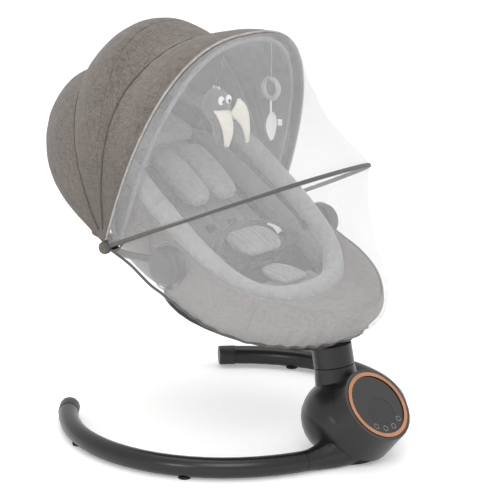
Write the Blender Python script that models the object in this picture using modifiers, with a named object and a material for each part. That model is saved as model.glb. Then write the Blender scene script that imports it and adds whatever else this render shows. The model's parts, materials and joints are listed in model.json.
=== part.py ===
"""Electric baby swing: C-shaped floor tube, drive pod, reclining seat, folding hood and bow net.

Metres, +Z up. The seat faces -Y, +Y is the head end. The origin is on the floor, at the
centre of the floor tube's ring.
"""

import bpy
import bmesh
import numpy as np
from math import cos, exp, pi, radians, sin
from mathutils import Matrix, Vector

# ---------------------------------------------------------------- driving dimensions
GAP = 0.0003             # clearance between faces that touch

RING_A = 0.289           # half length of the floor ring along X
RING_B = 0.276           # half length of the floor ring along Y
RING_Y = -0.006          # ring centre along Y
RING_OPEN = 46.2         # half of the ring's rear opening, degrees from +Y
TUBE_R = 0.0170          # floor tube radius
TUBE_Z = 0.0195          # height of the tube's centreline
ARM_END = 22.0           # the pod's arms end this far from -Y, degrees
CAP_LENGTH = 0.030
FOOT_HEIGHT = 0.0045
POD_FLOOR = 0.0030       # height of the pod's underside

POD_Y, POD_Z = -0.262, 0.066     # centre of the pod's rounded body
POD_R, POD_FLAT = 0.078, 0.88    # its radius, and its height over its width
PANEL_TILT = 48.2        # the panel's normal, degrees from vertical towards -Y
PANEL_Y, PANEL_Z = -0.3235, 0.1015
PANEL_R = 0.0645         # radius of the pod's front rim

SWING_TILT = 12.0        # swing axis, degrees from vertical towards +Y
GAP_Y, GAP_Z = -0.231, 0.147     # the swing axis at the parting line of the neck
NECK_R = 0.0335
SLEEVE_HEIGHT = 0.036
MODULE = 0.001
GEAR_TEETH, PINION_TEETH = 36, 12

HUB_Y, HUB_Z = -0.036, 0.319     # recline axis
PIVOT_Y, PIVOT_Z = 0.082, 0.332  # axis of the hood's and the net's bows

HOOD_A = 0.2160          # half width of the hood
HOOD_R = 0.362           # reach of the hood from its pivots
HOOD_CLOTH = 0.0025
HOOP_A, MID_A, FRONT_A, NET_A = 0.1985, 0.1890, 0.1798, 0.2110   # half widths of the bows
FRONT_BOW, MID_BOW, BACK_HOOP = 70.0, 102.0, 150.0   # degrees above straight ahead
NET_BOW, NET_BOW_REACH = 23.8, 0.364

# Seat shell, from the foot to the head: rim height line, underside line, half widths.
#            rim y   rim z  under y under z   width
STATIONS = ((-0.293, 0.290, -0.289, 0.272, 0.022),
            (-0.281, 0.298, -0.275, 0.236, 0.048),
            (-0.250, 0.304, -0.245, 0.213, 0.080),
            (-0.204, 0.310, -0.202, 0.207, 0.112),
            (-0.146, 0.330, -0.142, 0.205, 0.136),
            (-0.082, 0.358, -0.085, 0.206, 0.150),
            (-0.020, 0.392, -0.010, 0.215, 0.151),
            (0.050, 0.438, 0.070, 0.242, 0.150),
            (0.115, 0.478, 0.145, 0.285, 0.148),
            (0.175, 0.512, 0.210, 0.340, 0.134),
            (0.228, 0.536, 0.262, 0.405, 0.104),
            (0.262, 0.545, 0.288, 0.470, 0.064))
SHELL = 0.006

PALETTE = {              # colour, roughness, metallic
    "charcoal_plastic": ((0.018, 0.018, 0.020), 0.42, 0.0),
    "end_cap_plastic": ((0.035, 0.035, 0.037), 0.55, 0.0),
    "rubber": ((0.015, 0.015, 0.015), 0.85, 0.0),
    "copper_trim": ((0.62, 0.30, 0.16), 0.28, 1.0),
    "panel_glass": ((0.022, 0.021, 0.022), 0.10, 0.0),
    "display": ((0.010, 0.010, 0.011), 0.08, 0.0),
    "steel": ((0.50, 0.50, 0.50), 0.35, 1.0),
    "frame_steel": ((0.045, 0.045, 0.048), 0.40, 0.3),
    "brass": ((0.60, 0.45, 0.20), 0.35, 1.0),
    "gear_plastic": ((0.75, 0.74, 0.70), 0.50, 0.0),
    "circuit_board": ((0.02, 0.12, 0.05), 0.50, 0.0),
    "shell_fabric": ((0.30, 0.30, 0.31), 0.90, 0.0),
    "plush_fabric": ((0.46, 0.46, 0.47), 0.95, 0.0),
    "harness_webbing": ((0.10, 0.10, 0.11), 0.80, 0.0),
    "hood_fabric": ((0.20, 0.17, 0.145), 0.95, 0.0),
    "net": ((0.85, 0.85, 0.86), 0.80, 0.0),
    "toy_plush": ((0.30, 0.30, 0.33), 0.95, 0.0),
    "toy_clear": ((0.85, 0.85, 0.83), 0.20, 0.0),
}

for old in list(bpy.data.objects):
    bpy.data.objects.remove(old, do_unlink=True)
PARTS = bpy.data.collections.new("baby_swing")
CUTTERS = bpy.data.collections.new("cutters")
for group in (PARTS, CUTTERS):
    bpy.context.scene.collection.children.link(group)


# ---------------------------------------------------------------- materials and objects
def material(slot):
    """The Principled material of a slot, made once."""
    found = bpy.data.materials.get(slot)
    if found:
        return found
    colour, roughness, metallic = PALETTE[slot]
    made = bpy.data.materials.new(slot)
    made.use_nodes = True
    shader = made.node_tree.nodes["Principled BSDF"]
    shader.inputs["Base Color"].default_value = (*colour, 1)
    shader.inputs["Roughness"].default_value = roughness
    shader.inputs["Metallic"].default_value = metallic
    return made


def place(name, data, slot=None, location=(0, 0, 0), rotation=(0, 0, 0)):
    """A named object; without a slot it is a cutter."""
    made = bpy.data.objects.new(name, data)
    made.location = location
    made.rotation_euler = rotation
    if slot:
        PARTS.objects.link(made)
        data.materials.append(material(slot))
    else:
        CUTTERS.objects.link(made)
        made.hide_render = True
        made.display_type = "WIRE"
    return made


def mesh_from(bm, name, smooth=40):
    bmesh.ops.recalc_face_normals(bm, faces=bm.faces)
    data = bpy.data.meshes.new(name)
    bm.to_mesh(data)
    bm.free()
    data.shade_smooth()
    data.set_sharp_from_angle(angle=radians(smooth))
    return data


def cylinder(name, radius, depth, slot=None, location=(0, 0, 0), rotation=(0, 0, 0),
             sides=24, radius2=None):
    """A cylinder or cone along the object's Z, centred on its location."""
    bm = bmesh.new()
    top = radius if radius2 is None else radius2
    bmesh.ops.create_cone(bm, cap_ends=True, segments=sides, radius1=radius, radius2=top,
                          depth=depth)
    return place(name, mesh_from(bm, name), slot, location, rotation)


def ball(name, radius, slot=None, location=(0, 0, 0), scale=(1, 1, 1), sides=32, rings=20):
    bm = bmesh.new()
    bmesh.ops.create_uvsphere(bm, u_segments=sides, v_segments=rings, radius=radius)
    bmesh.ops.scale(bm, vec=scale, verts=bm.verts)
    return place(name, mesh_from(bm, name), slot, location)


def block(name, size, slot=None, location=(0, 0, 0), rotation=(0, 0, 0), bevel=0.0):
    bm = bmesh.new()
    bmesh.ops.create_cube(bm, size=1.0)
    bmesh.ops.scale(bm, vec=size, verts=bm.verts)
    made = place(name, mesh_from(bm, name), slot, location, rotation)
    if bevel:
        add_bevel(made, bevel)
    return made


def add_bevel(obj, width, segments=2):
    bevel = obj.modifiers.new("Bevel", "BEVEL")
    bevel.width = width
    bevel.segments = segments
    bevel.limit_method = "ANGLE"
    bevel.angle_limit = radians(40)


def turned(name, profile, slot=None, location=(0, 0, 0), rotation=(0, 0, 0), steps=32):
    """A closed (radius, height) outline turned about Z; the outline runs down its outer side."""
    bm = bmesh.new()
    ring = [bm.verts.new((r, 0, z)) for r, z in profile]
    for a, b in zip(ring, ring[1:] + ring[:1]):
        bm.edges.new((a, b))
    data = bpy.data.meshes.new(name)
    bm.to_mesh(data)
    bm.free()
    made = place(name, data, slot, location, rotation)
    screw = made.modifiers.new("Screw", "SCREW")
    screw.steps = screw.render_steps = steps
    screw.use_merge_vertices = True
    screw.merge_threshold = 0.00001
    screw.use_smooth_shade = True
    return made


def ring_profile(inner, outer, low, high):
    return ((outer, high), (outer, low), (inner, low), (inner, high))


def boolean(obj, tool, operation="DIFFERENCE"):
    made = obj.modifiers.new(operation.title(), "BOOLEAN")
    made.object = tool
    made.operation = operation


def tube(name, points, radius, slot=None, sides=3, radii=None):
    """A round bar along world points; radii scales the radius at each point."""
    data = bpy.data.curves.new(name, "CURVE")
    data.dimensions = "3D"
    data.bevel_depth = radius
    data.bevel_resolution = sides
    data.use_fill_caps = True
    spline = data.splines.new("POLY")
    spline.points.add(len(points) - 1)
    for i, point in enumerate(points):
        spline.points[i].co = (*point, 1)
        spline.points[i].radius = radii[i] if radii else 1.0
    return place(name, data, slot)


def as_mesh(obj):
    """The curve object made a closed mesh, so that it can be cut or joined."""
    evaluated = obj.evaluated_get(bpy.context.evaluated_depsgraph_get())
    data = bpy.data.meshes.new_from_object(evaluated)
    name, matrix = obj.name, obj.matrix_world.copy()
    keep = obj.users_collection[0]
    bpy.data.objects.remove(obj)
    bm = bmesh.new()
    bm.from_mesh(data)
    bmesh.ops.remove_doubles(bm, verts=bm.verts, dist=0.00001)
    bm.to_mesh(data)
    bm.free()
    made = bpy.data.objects.new(name, data)
    made.matrix_world = matrix
    keep.objects.link(made)
    made.hide_render = keep is CUTTERS
    made.display_type = "WIRE" if keep is CUTTERS else "TEXTURED"
    return made


def smooth_line(points, count):
    """count points along a Catmull-Rom curve through the given ones."""
    knots = [Vector(p) for p in points]
    knots = [2 * knots[0] - knots[1]] + knots + [2 * knots[-1] - knots[-2]]
    line = []
    for t in np.linspace(0, len(knots) - 3 - 1e-9, count):
        i, u = int(t), t - int(t)
        a, b, c, d = knots[i:i + 4]
        line.append(0.5 * (2 * b + (c - a) * u + (2 * a - 5 * b + 4 * c - d) * u * u
                           + (3 * b - a - 3 * c + d) * u ** 3))
    return line


def sheet_mesh(name, rows):
    """An open grid surface through equal rows of points."""
    bm = bmesh.new()
    grid = [[bm.verts.new(p) for p in row] for row in rows]
    for low, high in zip(grid, grid[1:]):
        for a, b, c, d in zip(low, low[1:], high[1:], high):
            bm.faces.new((a, b, c, d))
    data = bpy.data.meshes.new(name)
    bm.to_mesh(data)
    bm.free()
    data.shade_smooth()
    return data


def cloth(name, rows, slot, thickness, side):
    """A sheet through the rows, thickened towards the side of its normals or away from it."""
    made = place(name, sheet_mesh(name, rows), slot)
    solid = made.modifiers.new("Solidify", "SOLIDIFY")
    solid.thickness = thickness
    solid.offset = side
    solid.use_even_offset = True
    return made


def cushion(name, rings, slot):
    """A closed form lofted through rings of points and capped at both ends."""
    bm = bmesh.new()
    loops = [[bm.verts.new(p) for p in ring] for ring in rings]
    for low, high in zip(loops, loops[1:]):
        for i in range(len(low)):
            j = (i + 1) % len(low)
            bm.faces.new((low[i], low[j], high[j], high[i]))
    bm.faces.new(loops[0])
    bm.faces.new(loops[-1])
    return place(name, mesh_from(bm, name, 60), slot)


# ---------------------------------------------------------------- reference geometry
def ring_point(angle, height=TUBE_Z):
    """A point of the floor ring, at an angle from -Y towards +X, in degrees."""
    a = radians(angle)
    return Vector((RING_A * sin(a), RING_Y - RING_B * cos(a), height))


def on_axis(s, side=0.0):
    """A point of the swing axis, s above the neck's parting line, moved by side towards +Y."""
    t = radians(SWING_TILT)
    return Vector((0, GAP_Y + s * sin(t) + side * cos(t), GAP_Z + s * cos(t) - side * sin(t)))


def on_panel(out, x=0.0, up=0.0):
    """A point near the panel: out along its normal, x to the side, up along its face."""
    t = radians(PANEL_TILT)
    return Vector((x, PANEL_Y - out * sin(t) + up * cos(t), PANEL_Z + out * cos(t) + up * sin(t)))


AXIS_TURN = (radians(-SWING_TILT), 0, 0)
PANEL_TURN = (radians(PANEL_TILT), 0, 0)


def power(value, exponent):
    return abs(value) ** exponent * (1 if value >= 0 else -1)


def arch(angle, half_width, reach, square, start, count):
    """Points of a superellipse arch about the bow pivots, in the plane at an angle above -Y."""
    a = radians(angle)
    points = []
    for t in np.linspace(radians(start), pi - radians(start), count):
        along = reach * power(sin(t), 2 / square)
        points.append(Vector((-half_width * power(cos(t), 2 / square),
                              PIVOT_Y - along * cos(a), PIVOT_Z + along * sin(a))))
    return points


def ease(low, high, value):
    """0 below low, 1 above high, and smooth between them."""
    t = min(max((value - low) / (high - low), 0), 1)
    return t * t * (3 - 2 * t)


def hood_reach(angle):
    """The hood's reach from its pivots: three lobes with two folds between, small at the rear."""
    knots = (70, 76, 84, 90, 96, 104, 110, 116, 121, 126, 131, 137, 143, 150, 157, 165, 173, 181,
             190)
    reach = (0.362, 0.352, 0.333, 0.320, 0.328, 0.352, 0.355, 0.349, 0.339, 0.321, 0.331, 0.341,
             0.341, 0.3305, 0.306, 0.268, 0.237, 0.212, 0.190)
    return float(np.interp(angle, knots, reach))


def hood_width(angle):
    """Half the hood's width, narrowing to the rear."""
    return HOOD_A - 0.006 * ease(80, 150, angle) - 0.056 * ease(150, 184, angle)


def hood_square(angle):
    """The superellipse exponent of the hood's arch: squarer at the front edge."""
    return 2.6 - 0.5 * ease(72, 110, angle)


def section(station, inset=0.0, count=13):
    """The seat shell's cross-section at a fractional station, from one rim round to the other."""
    i = min(int(station), len(STATIONS) - 2)
    u = station - i
    ry, rz, uy, uz, w = [a + (b - a) * u for a, b in zip(STATIONS[i], STATIONS[i + 1])]
    rim, under = Vector((0, ry, rz)), Vector((0, uy, uz))
    down = (under - rim).normalized()
    under = under - down * inset
    points = []
    for t in np.linspace(0, pi, count):
        deep = power(sin(t), 0.62)
        bulge = 1 + 0.10 * sin(2 * min(t, pi - t))
        point = rim + (under - rim) * deep
        point.x = -(w - inset) * power(cos(t), 0.78) * bulge
        points.append(point)
    return points


# ---------------------------------------------------------------- floor frame
def floor_tubes():
    for side, name in ((1, "left"), (-1, "right")):
        end = 180 - RING_OPEN
        angles = [ARM_END - 5.5, ARM_END - 2.7, ARM_END + 0.07, ARM_END + 0.12, ARM_END + 0.4]
        angles += list(np.linspace(ARM_END + 5, end - 0.3, 20)) + [end]
        radii = [0.60] * 3 + [1.0] * 23
        tube(f"base_tube_{name}", [ring_point(side * a) for a in angles], TUBE_R,
             "charcoal_plastic", 4, radii)
        angles = [end + 0.08, end + 0.38, end + 3, end + 5.6, end + 6.0]
        tube(f"end_cap_{name}", [ring_point(side * a) for a in angles], TUBE_R,
             "end_cap_plastic", 4, [1.04, 1.04, 1.04, 1.04, 0.98])
        for number, angle in enumerate((62, 112), 1):
            foot_pad(f"tube_foot_{name}_{number}", ring_point(side * angle, 0))


def foot_pad(name, spot):
    """A rubber pad under the tube, hollowed to the tube's round."""
    pad = cylinder(name, 0.0105, FOOT_HEIGHT, "rubber", (spot.x, spot.y, FOOT_HEIGHT / 2),
                   sides=16)
    groove = cylinder(f"{name}_groove", TUBE_R + GAP, 0.06, None, (spot.x, spot.y, TUBE_Z),
                      (pi / 2, 0, np.arctan2(spot.x, -spot.y) + pi / 2), sides=36)
    boolean(pad, groove)
    return pad


# ---------------------------------------------------------------- drive pod
def pod_arm(side, name, grow, slot=None):
    """The moulded arm that carries a floor tube, following the ring and growing to the pod."""
    angles = [*np.linspace(0, ARM_END - 2, 8), ARM_END - 0.3, ARM_END]
    radii = [1 + grow * (1 - (a / ARM_END) ** 2) ** 2 for a in angles]
    points = [ring_point(side * a, TUBE_Z + 0.017 * (1 - a / ARM_END) ** 2) for a in angles]
    return as_mesh(tube(name, points, TUBE_R, slot, 4, radii))


def pod_housing():
    """One moulded shell: ball, slanted drum for the panel, neck collar and two arms."""
    shell = ball("pod_housing", POD_R, "charcoal_plastic", (0, POD_Y, POD_Z), (1, 1, POD_FLAT),
                 28, 16)
    drum = cylinder("pod_drum", 0.0720, 0.060, None, on_panel(-0.030), PANEL_TURN, 32, PANEL_R)
    collar = cylinder("pod_collar", NECK_R + 0.005, 0.060, None, on_axis(-0.0303),
                      AXIS_TURN, 28, NECK_R)
    for tool in (drum, collar):
        boolean(shell, tool, "UNION")
    for side, name in ((1, "left"), (-1, "right")):
        boolean(shell, pod_arm(side, f"pod_arm_{name}", 1.2), "UNION")
    below = block("pod_below", (0.6, 0.6, 0.1), None, (0, POD_Y, POD_FLOOR - 0.05))
    hollow = ball("pod_hollow", POD_R - 0.005, None, (0, POD_Y, POD_Z), (1, 1, POD_FLAT), 24, 14)
    mouth = cylinder("pod_mouth", COVER_R + GAP, 0.03, None, (0, POD_Y, 0.010), sides=28)
    bore = cylinder("pod_bore", 0.0275, 0.080, None, on_axis(-0.035), AXIS_TURN, 28)
    recess = cylinder("pod_recess", 0.0590, 0.010, None, on_panel(-0.0005), PANEL_TURN, 36)
    window = cylinder("pod_window", 0.048, 0.060, None, on_panel(-0.030), PANEL_TURN, 28)
    jack = cylinder("pod_jack_hole", 0.0062, 0.03, None, (0, POD_Y + POD_R, 0.050),
                    (pi / 2, 0, 0), 12)
    for tool in (below, hollow, mouth, bore, recess, window, jack):
        boolean(shell, tool)
    for side, name in ((1, "left"), (-1, "right")):
        angles = np.linspace(ARM_END - 5.9, ARM_END + 1, 4)
        socket = tube(f"pod_socket_{name}", [ring_point(side * a) for a in angles],
                      0.60 * TUBE_R + 0.0008, None, 3)
        boolean(shell, as_mesh(socket))
    return shell


COVER_R = 0.0500
POSTS = ((-0.024, POD_Y + 0.006), (0.024, POD_Y + 0.006), (0.0, POD_Y - 0.020))
PLATE_S = -0.0600        # the drive plate's place along the swing axis


def pod_cover():
    """The round cover that closes the pod from below, with three posts for the drive plate."""
    cover = cylinder("pod_bottom_cover", COVER_R, 0.004, "charcoal_plastic",
                     (0, POD_Y, POD_FLOOR + 0.002), sides=28)
    for number, (x, y) in enumerate(POSTS, 1):
        low = POD_FLOOR + 0.0035
        side = (y - on_axis(PLATE_S).y) / cos(radians(SWING_TILT))
        top = on_axis(PLATE_S - 0.0015, side).z - 0.0014
        post = cylinder(f"cover_post_{number}", 0.0040, top - low, None,
                        (x, y, (top + low) / 2), sides=10)
        boolean(cover, post, "UNION")
        cylinder(f"cover_screw_{number}", 0.0030, 0.0012, "steel",
                 (x, y, POD_FLOOR - 0.0006 - GAP), sides=10)
    turned("pod_foot_ring", ring_profile(0.040, 0.048, 0, POD_FLOOR - GAP), "rubber",
           (0, POD_Y, 0), steps=28)


def control_panel():
    """Copper trim ring, touch panel, display window and the board behind them."""
    turned("panel_trim_ring", ring_profile(0.0522, 0.0586, -0.0050, 0.0012), "copper_trim",
           on_panel(0), PANEL_TURN, 36)
    panel = cylinder("touch_panel", 0.0519, 0.0040, "panel_glass", on_panel(-0.0026),
                     PANEL_TURN, 36)
    pocket = cylinder("display_pocket", 0.0270, 0.004, None, on_panel(-0.0008, 0, -0.014),
                      PANEL_TURN, 28)
    boolean(panel, pocket)
    cylinder("display_window", 0.0270 - GAP, 0.0018, "display", on_panel(-0.0015, 0, -0.014),
             PANEL_TURN, 28)
    cylinder("control_board", 0.0460, 0.0016, "circuit_board", on_panel(-0.0070), PANEL_TURN, 24)


def gear(name, teeth, slot, s, side, bore, width=0.008, turn=0.0, hub=None):
    """A spur gear about an axis parallel to the swing axis, drawn as a toothed outline."""
    pitch = MODULE * teeth / 2
    root, tip = pitch - 1.2 * MODULE, pitch + 0.9 * MODULE
    bm = bmesh.new()
    outline = []
    for i in range(teeth):
        for radius, offset in ((root, -0.30), (tip, -0.12), (tip, 0.12), (root, 0.30)):
            a = 2 * pi * (i + offset) / teeth + turn
            outline.append(bm.verts.new((radius * cos(a), radius * sin(a), -width / 2)))
    face = bm.faces.new(outline)
    made = bmesh.ops.extrude_face_region(bm, geom=[face])["geom"]
    moved = [v for v in made if isinstance(v, bmesh.types.BMVert)]
    bmesh.ops.translate(bm, vec=(0, 0, width), verts=moved)
    body = place(name, mesh_from(bm, name), slot, on_axis(s, side), AXIS_TURN)
    if bore:
        boolean(body, cylinder(f"{name}_bore", bore, 0.03, None, on_axis(s, side), AXIS_TURN, 16))
    if hub:
        boolean(body, cylinder(f"{name}_hub", hub, 0.017, None, on_axis(s - 0.0045, side),
                               AXIS_TURN, 12), "UNION")
    return body


def drive_train():
    """The plate with the motor, the pinion, the gear on the swing shaft and the bearings."""
    spread = MODULE * (GEAR_TEETH + PINION_TEETH) / 2 + 0.0002
    plate = block("drive_plate", (0.066, 0.070, 0.003), "steel", on_axis(PLATE_S, -0.002),
                  AXIS_TURN)
    for tool_name, radius, side in (("plate_bearing_hole", 0.0110 + GAP, 0),
                                    ("plate_pinion_hole", 0.0040, spread)):
        boolean(plate, cylinder(tool_name, radius, 0.02, None, on_axis(PLATE_S, side),
                                AXIS_TURN, 20))
    ring = ring_profile(0.0062, 0.0110, -0.0035, 0.0035)
    turned("shaft_bearing_lower", ring, "steel", on_axis(PLATE_S), AXIS_TURN, 20)
    turned("shaft_bearing_upper", ring_profile(0.0062, 0.0272, -0.0045, 0.0045), "steel",
           on_axis(-0.0100), AXIS_TURN, 28)
    cylinder("swing_shaft", 0.0060, 0.086, "steel", on_axis(-0.0240), AXIS_TURN, 20)
    gear("shaft_gear", GEAR_TEETH, "gear_plastic", -0.0475, 0, 0.0060 + GAP)
    gear("motor_pinion", PINION_TEETH, "brass", -0.0475, spread, 0, turn=pi / PINION_TEETH,
         hub=0.0030)
    cylinder("drive_motor", 0.0120, 0.026, "steel", on_axis(-0.0750, spread), AXIS_TURN, 20)


def pod_fittings():
    cylinder("speaker", 0.0140, 0.010, "charcoal_plastic", (0, POD_Y + 0.029, 0.0130), sides=20)
    cylinder("dc_jack", 0.0058, 0.016, "steel", (0, POD_Y + POD_R - 0.0100, 0.050),
             (pi / 2, 0, 0), 16)


# ---------------------------------------------------------------- seat frame
def neck_sleeve():
    """The sleeve that turns with the seat, and the saddle that holds the seat tube on it."""
    sleeve = turned("neck_sleeve",
                    ((NECK_R - 0.0010, SLEEVE_HEIGHT), (NECK_R, SLEEVE_HEIGHT - 0.0010),
                     (NECK_R, 0.0012), (NECK_R - 0.0010, 0.0006), (0.0064, 0.0006),
                     (0.0064, SLEEVE_HEIGHT - 0.0020), (0.0100, SLEEVE_HEIGHT)),
                    "charcoal_plastic", on_axis(0), AXIS_TURN, 28)
    saddle = block("seat_saddle", (0.110, 0.040, 0.016), "charcoal_plastic",
                   on_axis(SLEEVE_HEIGHT + 0.0087), AXIS_TURN, 0.004)
    groove = as_mesh(tube("saddle_groove", seat_tube_line(), TUBE_SEAT + GAP, None, 2))
    boolean(saddle, groove)
    return sleeve, saddle


TUBE_SEAT = 0.0080       # radius of the seat tube
HUB_X = 0.1860           # middle of the hub housing


def seat_tube_line():
    """The seat tube, from one hub down to the neck and up to the other hub."""
    neck = on_axis(SLEEVE_HEIGHT + 0.0095)
    half = [(0, neck.y, neck.z), (0.06, neck.y + 0.004, neck.z + 0.001),
            (0.110, -0.182, 0.202), (0.152, -0.130, 0.219), (0.178, -0.078, 0.240),
            (HUB_X, HUB_Y - 0.006, 0.262), (HUB_X, HUB_Y, 0.276), (HUB_X, HUB_Y, HUB_Z - 0.0340)]
    line = [(-x, y, z) for x, y, z in reversed(half[1:])] + half
    return smooth_line(line, 33)


def hubs():
    """Hub housings on the seat tube, with the pins that the backrest turns on."""
    for side, name in ((1, "left"), (-1, "right")):
        turn = (0, side * pi / 2, 0)
        housing = cylinder(f"hub_{name}", 0.0330, 0.0140, "charcoal_plastic",
                           (side * HUB_X, HUB_Y, HUB_Z), turn, 28)
        pin = cylinder(f"hub_pin_{name}", 0.0060, 0.0200, None,
                       (side * (HUB_X - 0.0120), HUB_Y, HUB_Z), turn, 16)
        boolean(housing, pin, "UNION")
        profile = ((0.0, 0.0100), (0.018, 0.0090), (0.027, 0.0060), (0.0310, 0.0), (0.0, 0.0))
        turned(f"recline_button_{name}", profile, "charcoal_plastic",
               (side * (HUB_X + 0.0070 + BUTTON_TRAVEL + GAP), HUB_Y, HUB_Z), turn, 24)


BUTTON_TRAVEL = 0.0030
EYE_X = 0.1720           # middle of the backrest tube's eyes on the hub pins


def back_frame():
    """The backrest tube: eyes on the hub pins, arms past the bow pivots, hoop round the head."""
    hoop = arch(BACK_HOOP, HOOP_A, 0.309, 1.90, 5, 21)
    arm = [(-EYE_X, HUB_Y + 0.010, HUB_Z - 0.001), (-EYE_X, 0.001, 0.3180),
           (-HOOP_A, 0.050, 0.3235), (-HOOP_A, PIVOT_Y, PIVOT_Z)]
    arm = smooth_line(arm, 9)[:-1]
    line = arm + hoop + [Vector((-p[0], p[1], p[2])) for p in reversed(arm)]
    frame = as_mesh(tube("back_frame", line, 0.0065, "frame_steel", 2))
    turn = (0, pi / 2, 0)
    for side, name in ((1, "left"), (-1, "right")):
        spot = (side * EYE_X, HUB_Y, HUB_Z)
        boolean(frame, cylinder(f"back_eye_{name}", 0.0160, 0.0110, None, spot, turn, 20), "UNION")
        boolean(frame, cylinder(f"back_eye_bore_{name}", 0.0060 + GAP, 0.05, None, spot, turn, 16))
        pin_spot = (side * 0.1955, PIVOT_Y, PIVOT_Z)
        boolean(frame, cylinder(f"pivot_pin_{name}", 0.0030, 0.046, None, pin_spot, turn, 12),
                "UNION")


# ---------------------------------------------------------------- seat shell and pads
SPLIT_FRONT, SPLIT_BACK = 5.2, 6.0       # stations where the seat and back shells end


def seat_shells():
    """The padded tub in two shells, apart under the recline axis so that the back can turn."""
    rows = [section(s) for s in np.linspace(0, SPLIT_FRONT, 9)]
    cloth("seat_shell", rows, "shell_fabric", SHELL, -1)
    rows = [section(s) for s in np.linspace(SPLIT_BACK, len(STATIONS) - 1, 9)]
    cloth("back_shell", rows, "shell_fabric", SHELL, -1)


def pad_rings(line, widths, thickness, count=14):
    """Rings of a flat cushion along a (y, z) centre line, with rounded sides."""
    rings = []
    for i, (y, z) in enumerate(line):
        before, after = line[max(i - 1, 0)], line[min(i + 1, len(line) - 1)]
        along = Vector((0, after[0] - before[0], after[1] - before[1])).normalized()
        up = Vector((1, 0, 0)).cross(along)
        ring = []
        for t in np.linspace(0, 2 * pi, count, endpoint=False):
            ring.append(Vector((widths[i] * power(cos(t), 0.5), y, z))
                        + up * (thickness[i] / 2 * power(sin(t), 0.7)))
        rings.append(ring)
    return rings


def pads():
    """Closed cushions inside the shells: seat, backrest, head support, shoulder and crotch pads."""
    seat_line = ((-0.262, 0.276), (-0.248, 0.262), (-0.216, 0.250), (-0.178, 0.245),
                 (-0.130, 0.246), (-0.098, 0.252))
    cushion("seat_pad", pad_rings(seat_line, (0.020, 0.036, 0.062, 0.084, 0.104, 0.112),
                                  (0.014, 0.028, 0.034, 0.036, 0.034, 0.020)), "plush_fabric")
    back_line = ((-0.043, 0.268), (-0.020, 0.284), (0.040, 0.320), (0.120, 0.370),
                 (0.190, 0.418), (0.228, 0.450))
    cushion("back_pad", pad_rings(back_line, (0.132, 0.134, 0.132, 0.128, 0.112, 0.080),
                                  (0.020, 0.036, 0.036, 0.036, 0.034, 0.020)), "plush_fabric")
    head_line = ((0.150, 0.4225), (0.166, 0.4345), (0.200, 0.4590), (0.220, 0.4750))
    cushion("head_pad", pad_rings(head_line, (0.070, 0.085, 0.080, 0.060),
                                  (0.006, 0.014, 0.014, 0.006)), "plush_fabric")
    for side, name in ((1, "left"), (-1, "right")):
        line = ((0.020, 0.3455), (0.035, 0.3545), (0.110, 0.4015), (0.136, 0.4180))
        rings = pad_rings(line, (0.014, 0.021, 0.021, 0.012), (0.010, 0.020, 0.020, 0.010), 12)
        for ring in rings:
            for point in ring:
                point.x += side * 0.0270
        cushion(f"shoulder_pad_{name}", rings, "plush_fabric")
        line = ((-0.012, 0.3130), (-0.004, 0.3185), (0.010, 0.3275))
        rings = pad_rings(line, (0.010, 0.010, 0.010), (0.0030, 0.0030, 0.0030), 8)
        for ring in rings:
            for point in ring:
                point.x += side * 0.0270
        cushion(f"shoulder_strap_{name}", rings, "harness_webbing")


def harness():
    """Crotch pad, waist straps and the buckle they meet in, with its release button."""
    line = ((-0.150, 0.2745), (-0.134, 0.2775), (-0.102, 0.2820), (-0.086, 0.2870))
    cushion("crotch_pad", pad_rings(line, (0.026, 0.034, 0.030, 0.020),
                                    (0.006, 0.012, 0.012, 0.008)), "plush_fabric")
    turn = (radians(20), 0, 0)
    centre = Vector((0, -0.0640, 0.3060))
    buckle = block("buckle", (0.048, 0.036, 0.0120), "charcoal_plastic", centre, turn, 0.003)
    up = Vector((0, -sin(radians(20)), cos(radians(20))))
    pocket = cylinder("buckle_pocket", 0.0095, 0.016, None, centre + up * 0.0060, turn, 16)
    boolean(buckle, pocket)
    cylinder("buckle_button", 0.0095 - GAP, 0.0050, "end_cap_plastic", centre + up * 0.0045,
             turn, 16)
    for side, name in ((1, "left"), (-1, "right")):
        rings = []
        for x, y, z in ((0.0262, -0.064, 0.3060), (0.0600, -0.062, 0.3070), (0.0960, -0.060, 0.3160),
                        (0.1240, -0.058, 0.3350)):
            rings.append([Vector((side * x, y + 0.010 * a, z + 0.0045 * a + 0.0014 * b))
                          for a, b in ((-1, -1), (1, -1), (1, 1), (-1, 1))])
        cushion(f"waist_strap_{name}", rings, "harness_webbing")


# ---------------------------------------------------------------- hood, net and toys
def bow_with_eyes(name, angle, half_width, reach, radius, slot, square):
    """A bow and the flat eyes it turns on."""
    bow = as_mesh(tube(name, arch(angle, half_width, reach, square, 0, 21), radius, slot, 2))
    for side in (1, -1):
        spot = (side * half_width, PIVOT_Y, PIVOT_Z)
        turn = (0, pi / 2, 0)
        tag = "left" if side > 0 else "right"
        boolean(bow, cylinder(f"{name}_eye_{tag}", 0.0090, 0.0050, None, spot, turn, 16), "UNION")
        boolean(bow, cylinder(f"{name}_bore_{tag}", 0.0030 + GAP, 0.03, None, spot, turn, 12))
    return bow


def hood():
    bow_with_eyes("canopy_bow_front", FRONT_BOW, FRONT_A, 0.350, 0.0035, "frame_steel", 2.6)
    bow_with_eyes("canopy_bow_mid", MID_BOW, MID_A, 0.336, 0.0035, "frame_steel", 2.2)
    spans = (("canopy_front_panel", FRONT_BOW, 101.4, 6, 3.5),
             ("canopy_mid_panel", 102.0, 147.0, 8, 3.5),
             ("canopy_rear_panel", 147.8, 189.0, 7, 10))
    for name, low, high, count, start in spans:
        rows = [arch(a, hood_width(a), hood_reach(a), hood_square(a), start, 19)
                for a in np.linspace(low, high, count)]
        cloth(name, rows, "hood_fabric", HOOD_CLOTH, -1)


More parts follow.
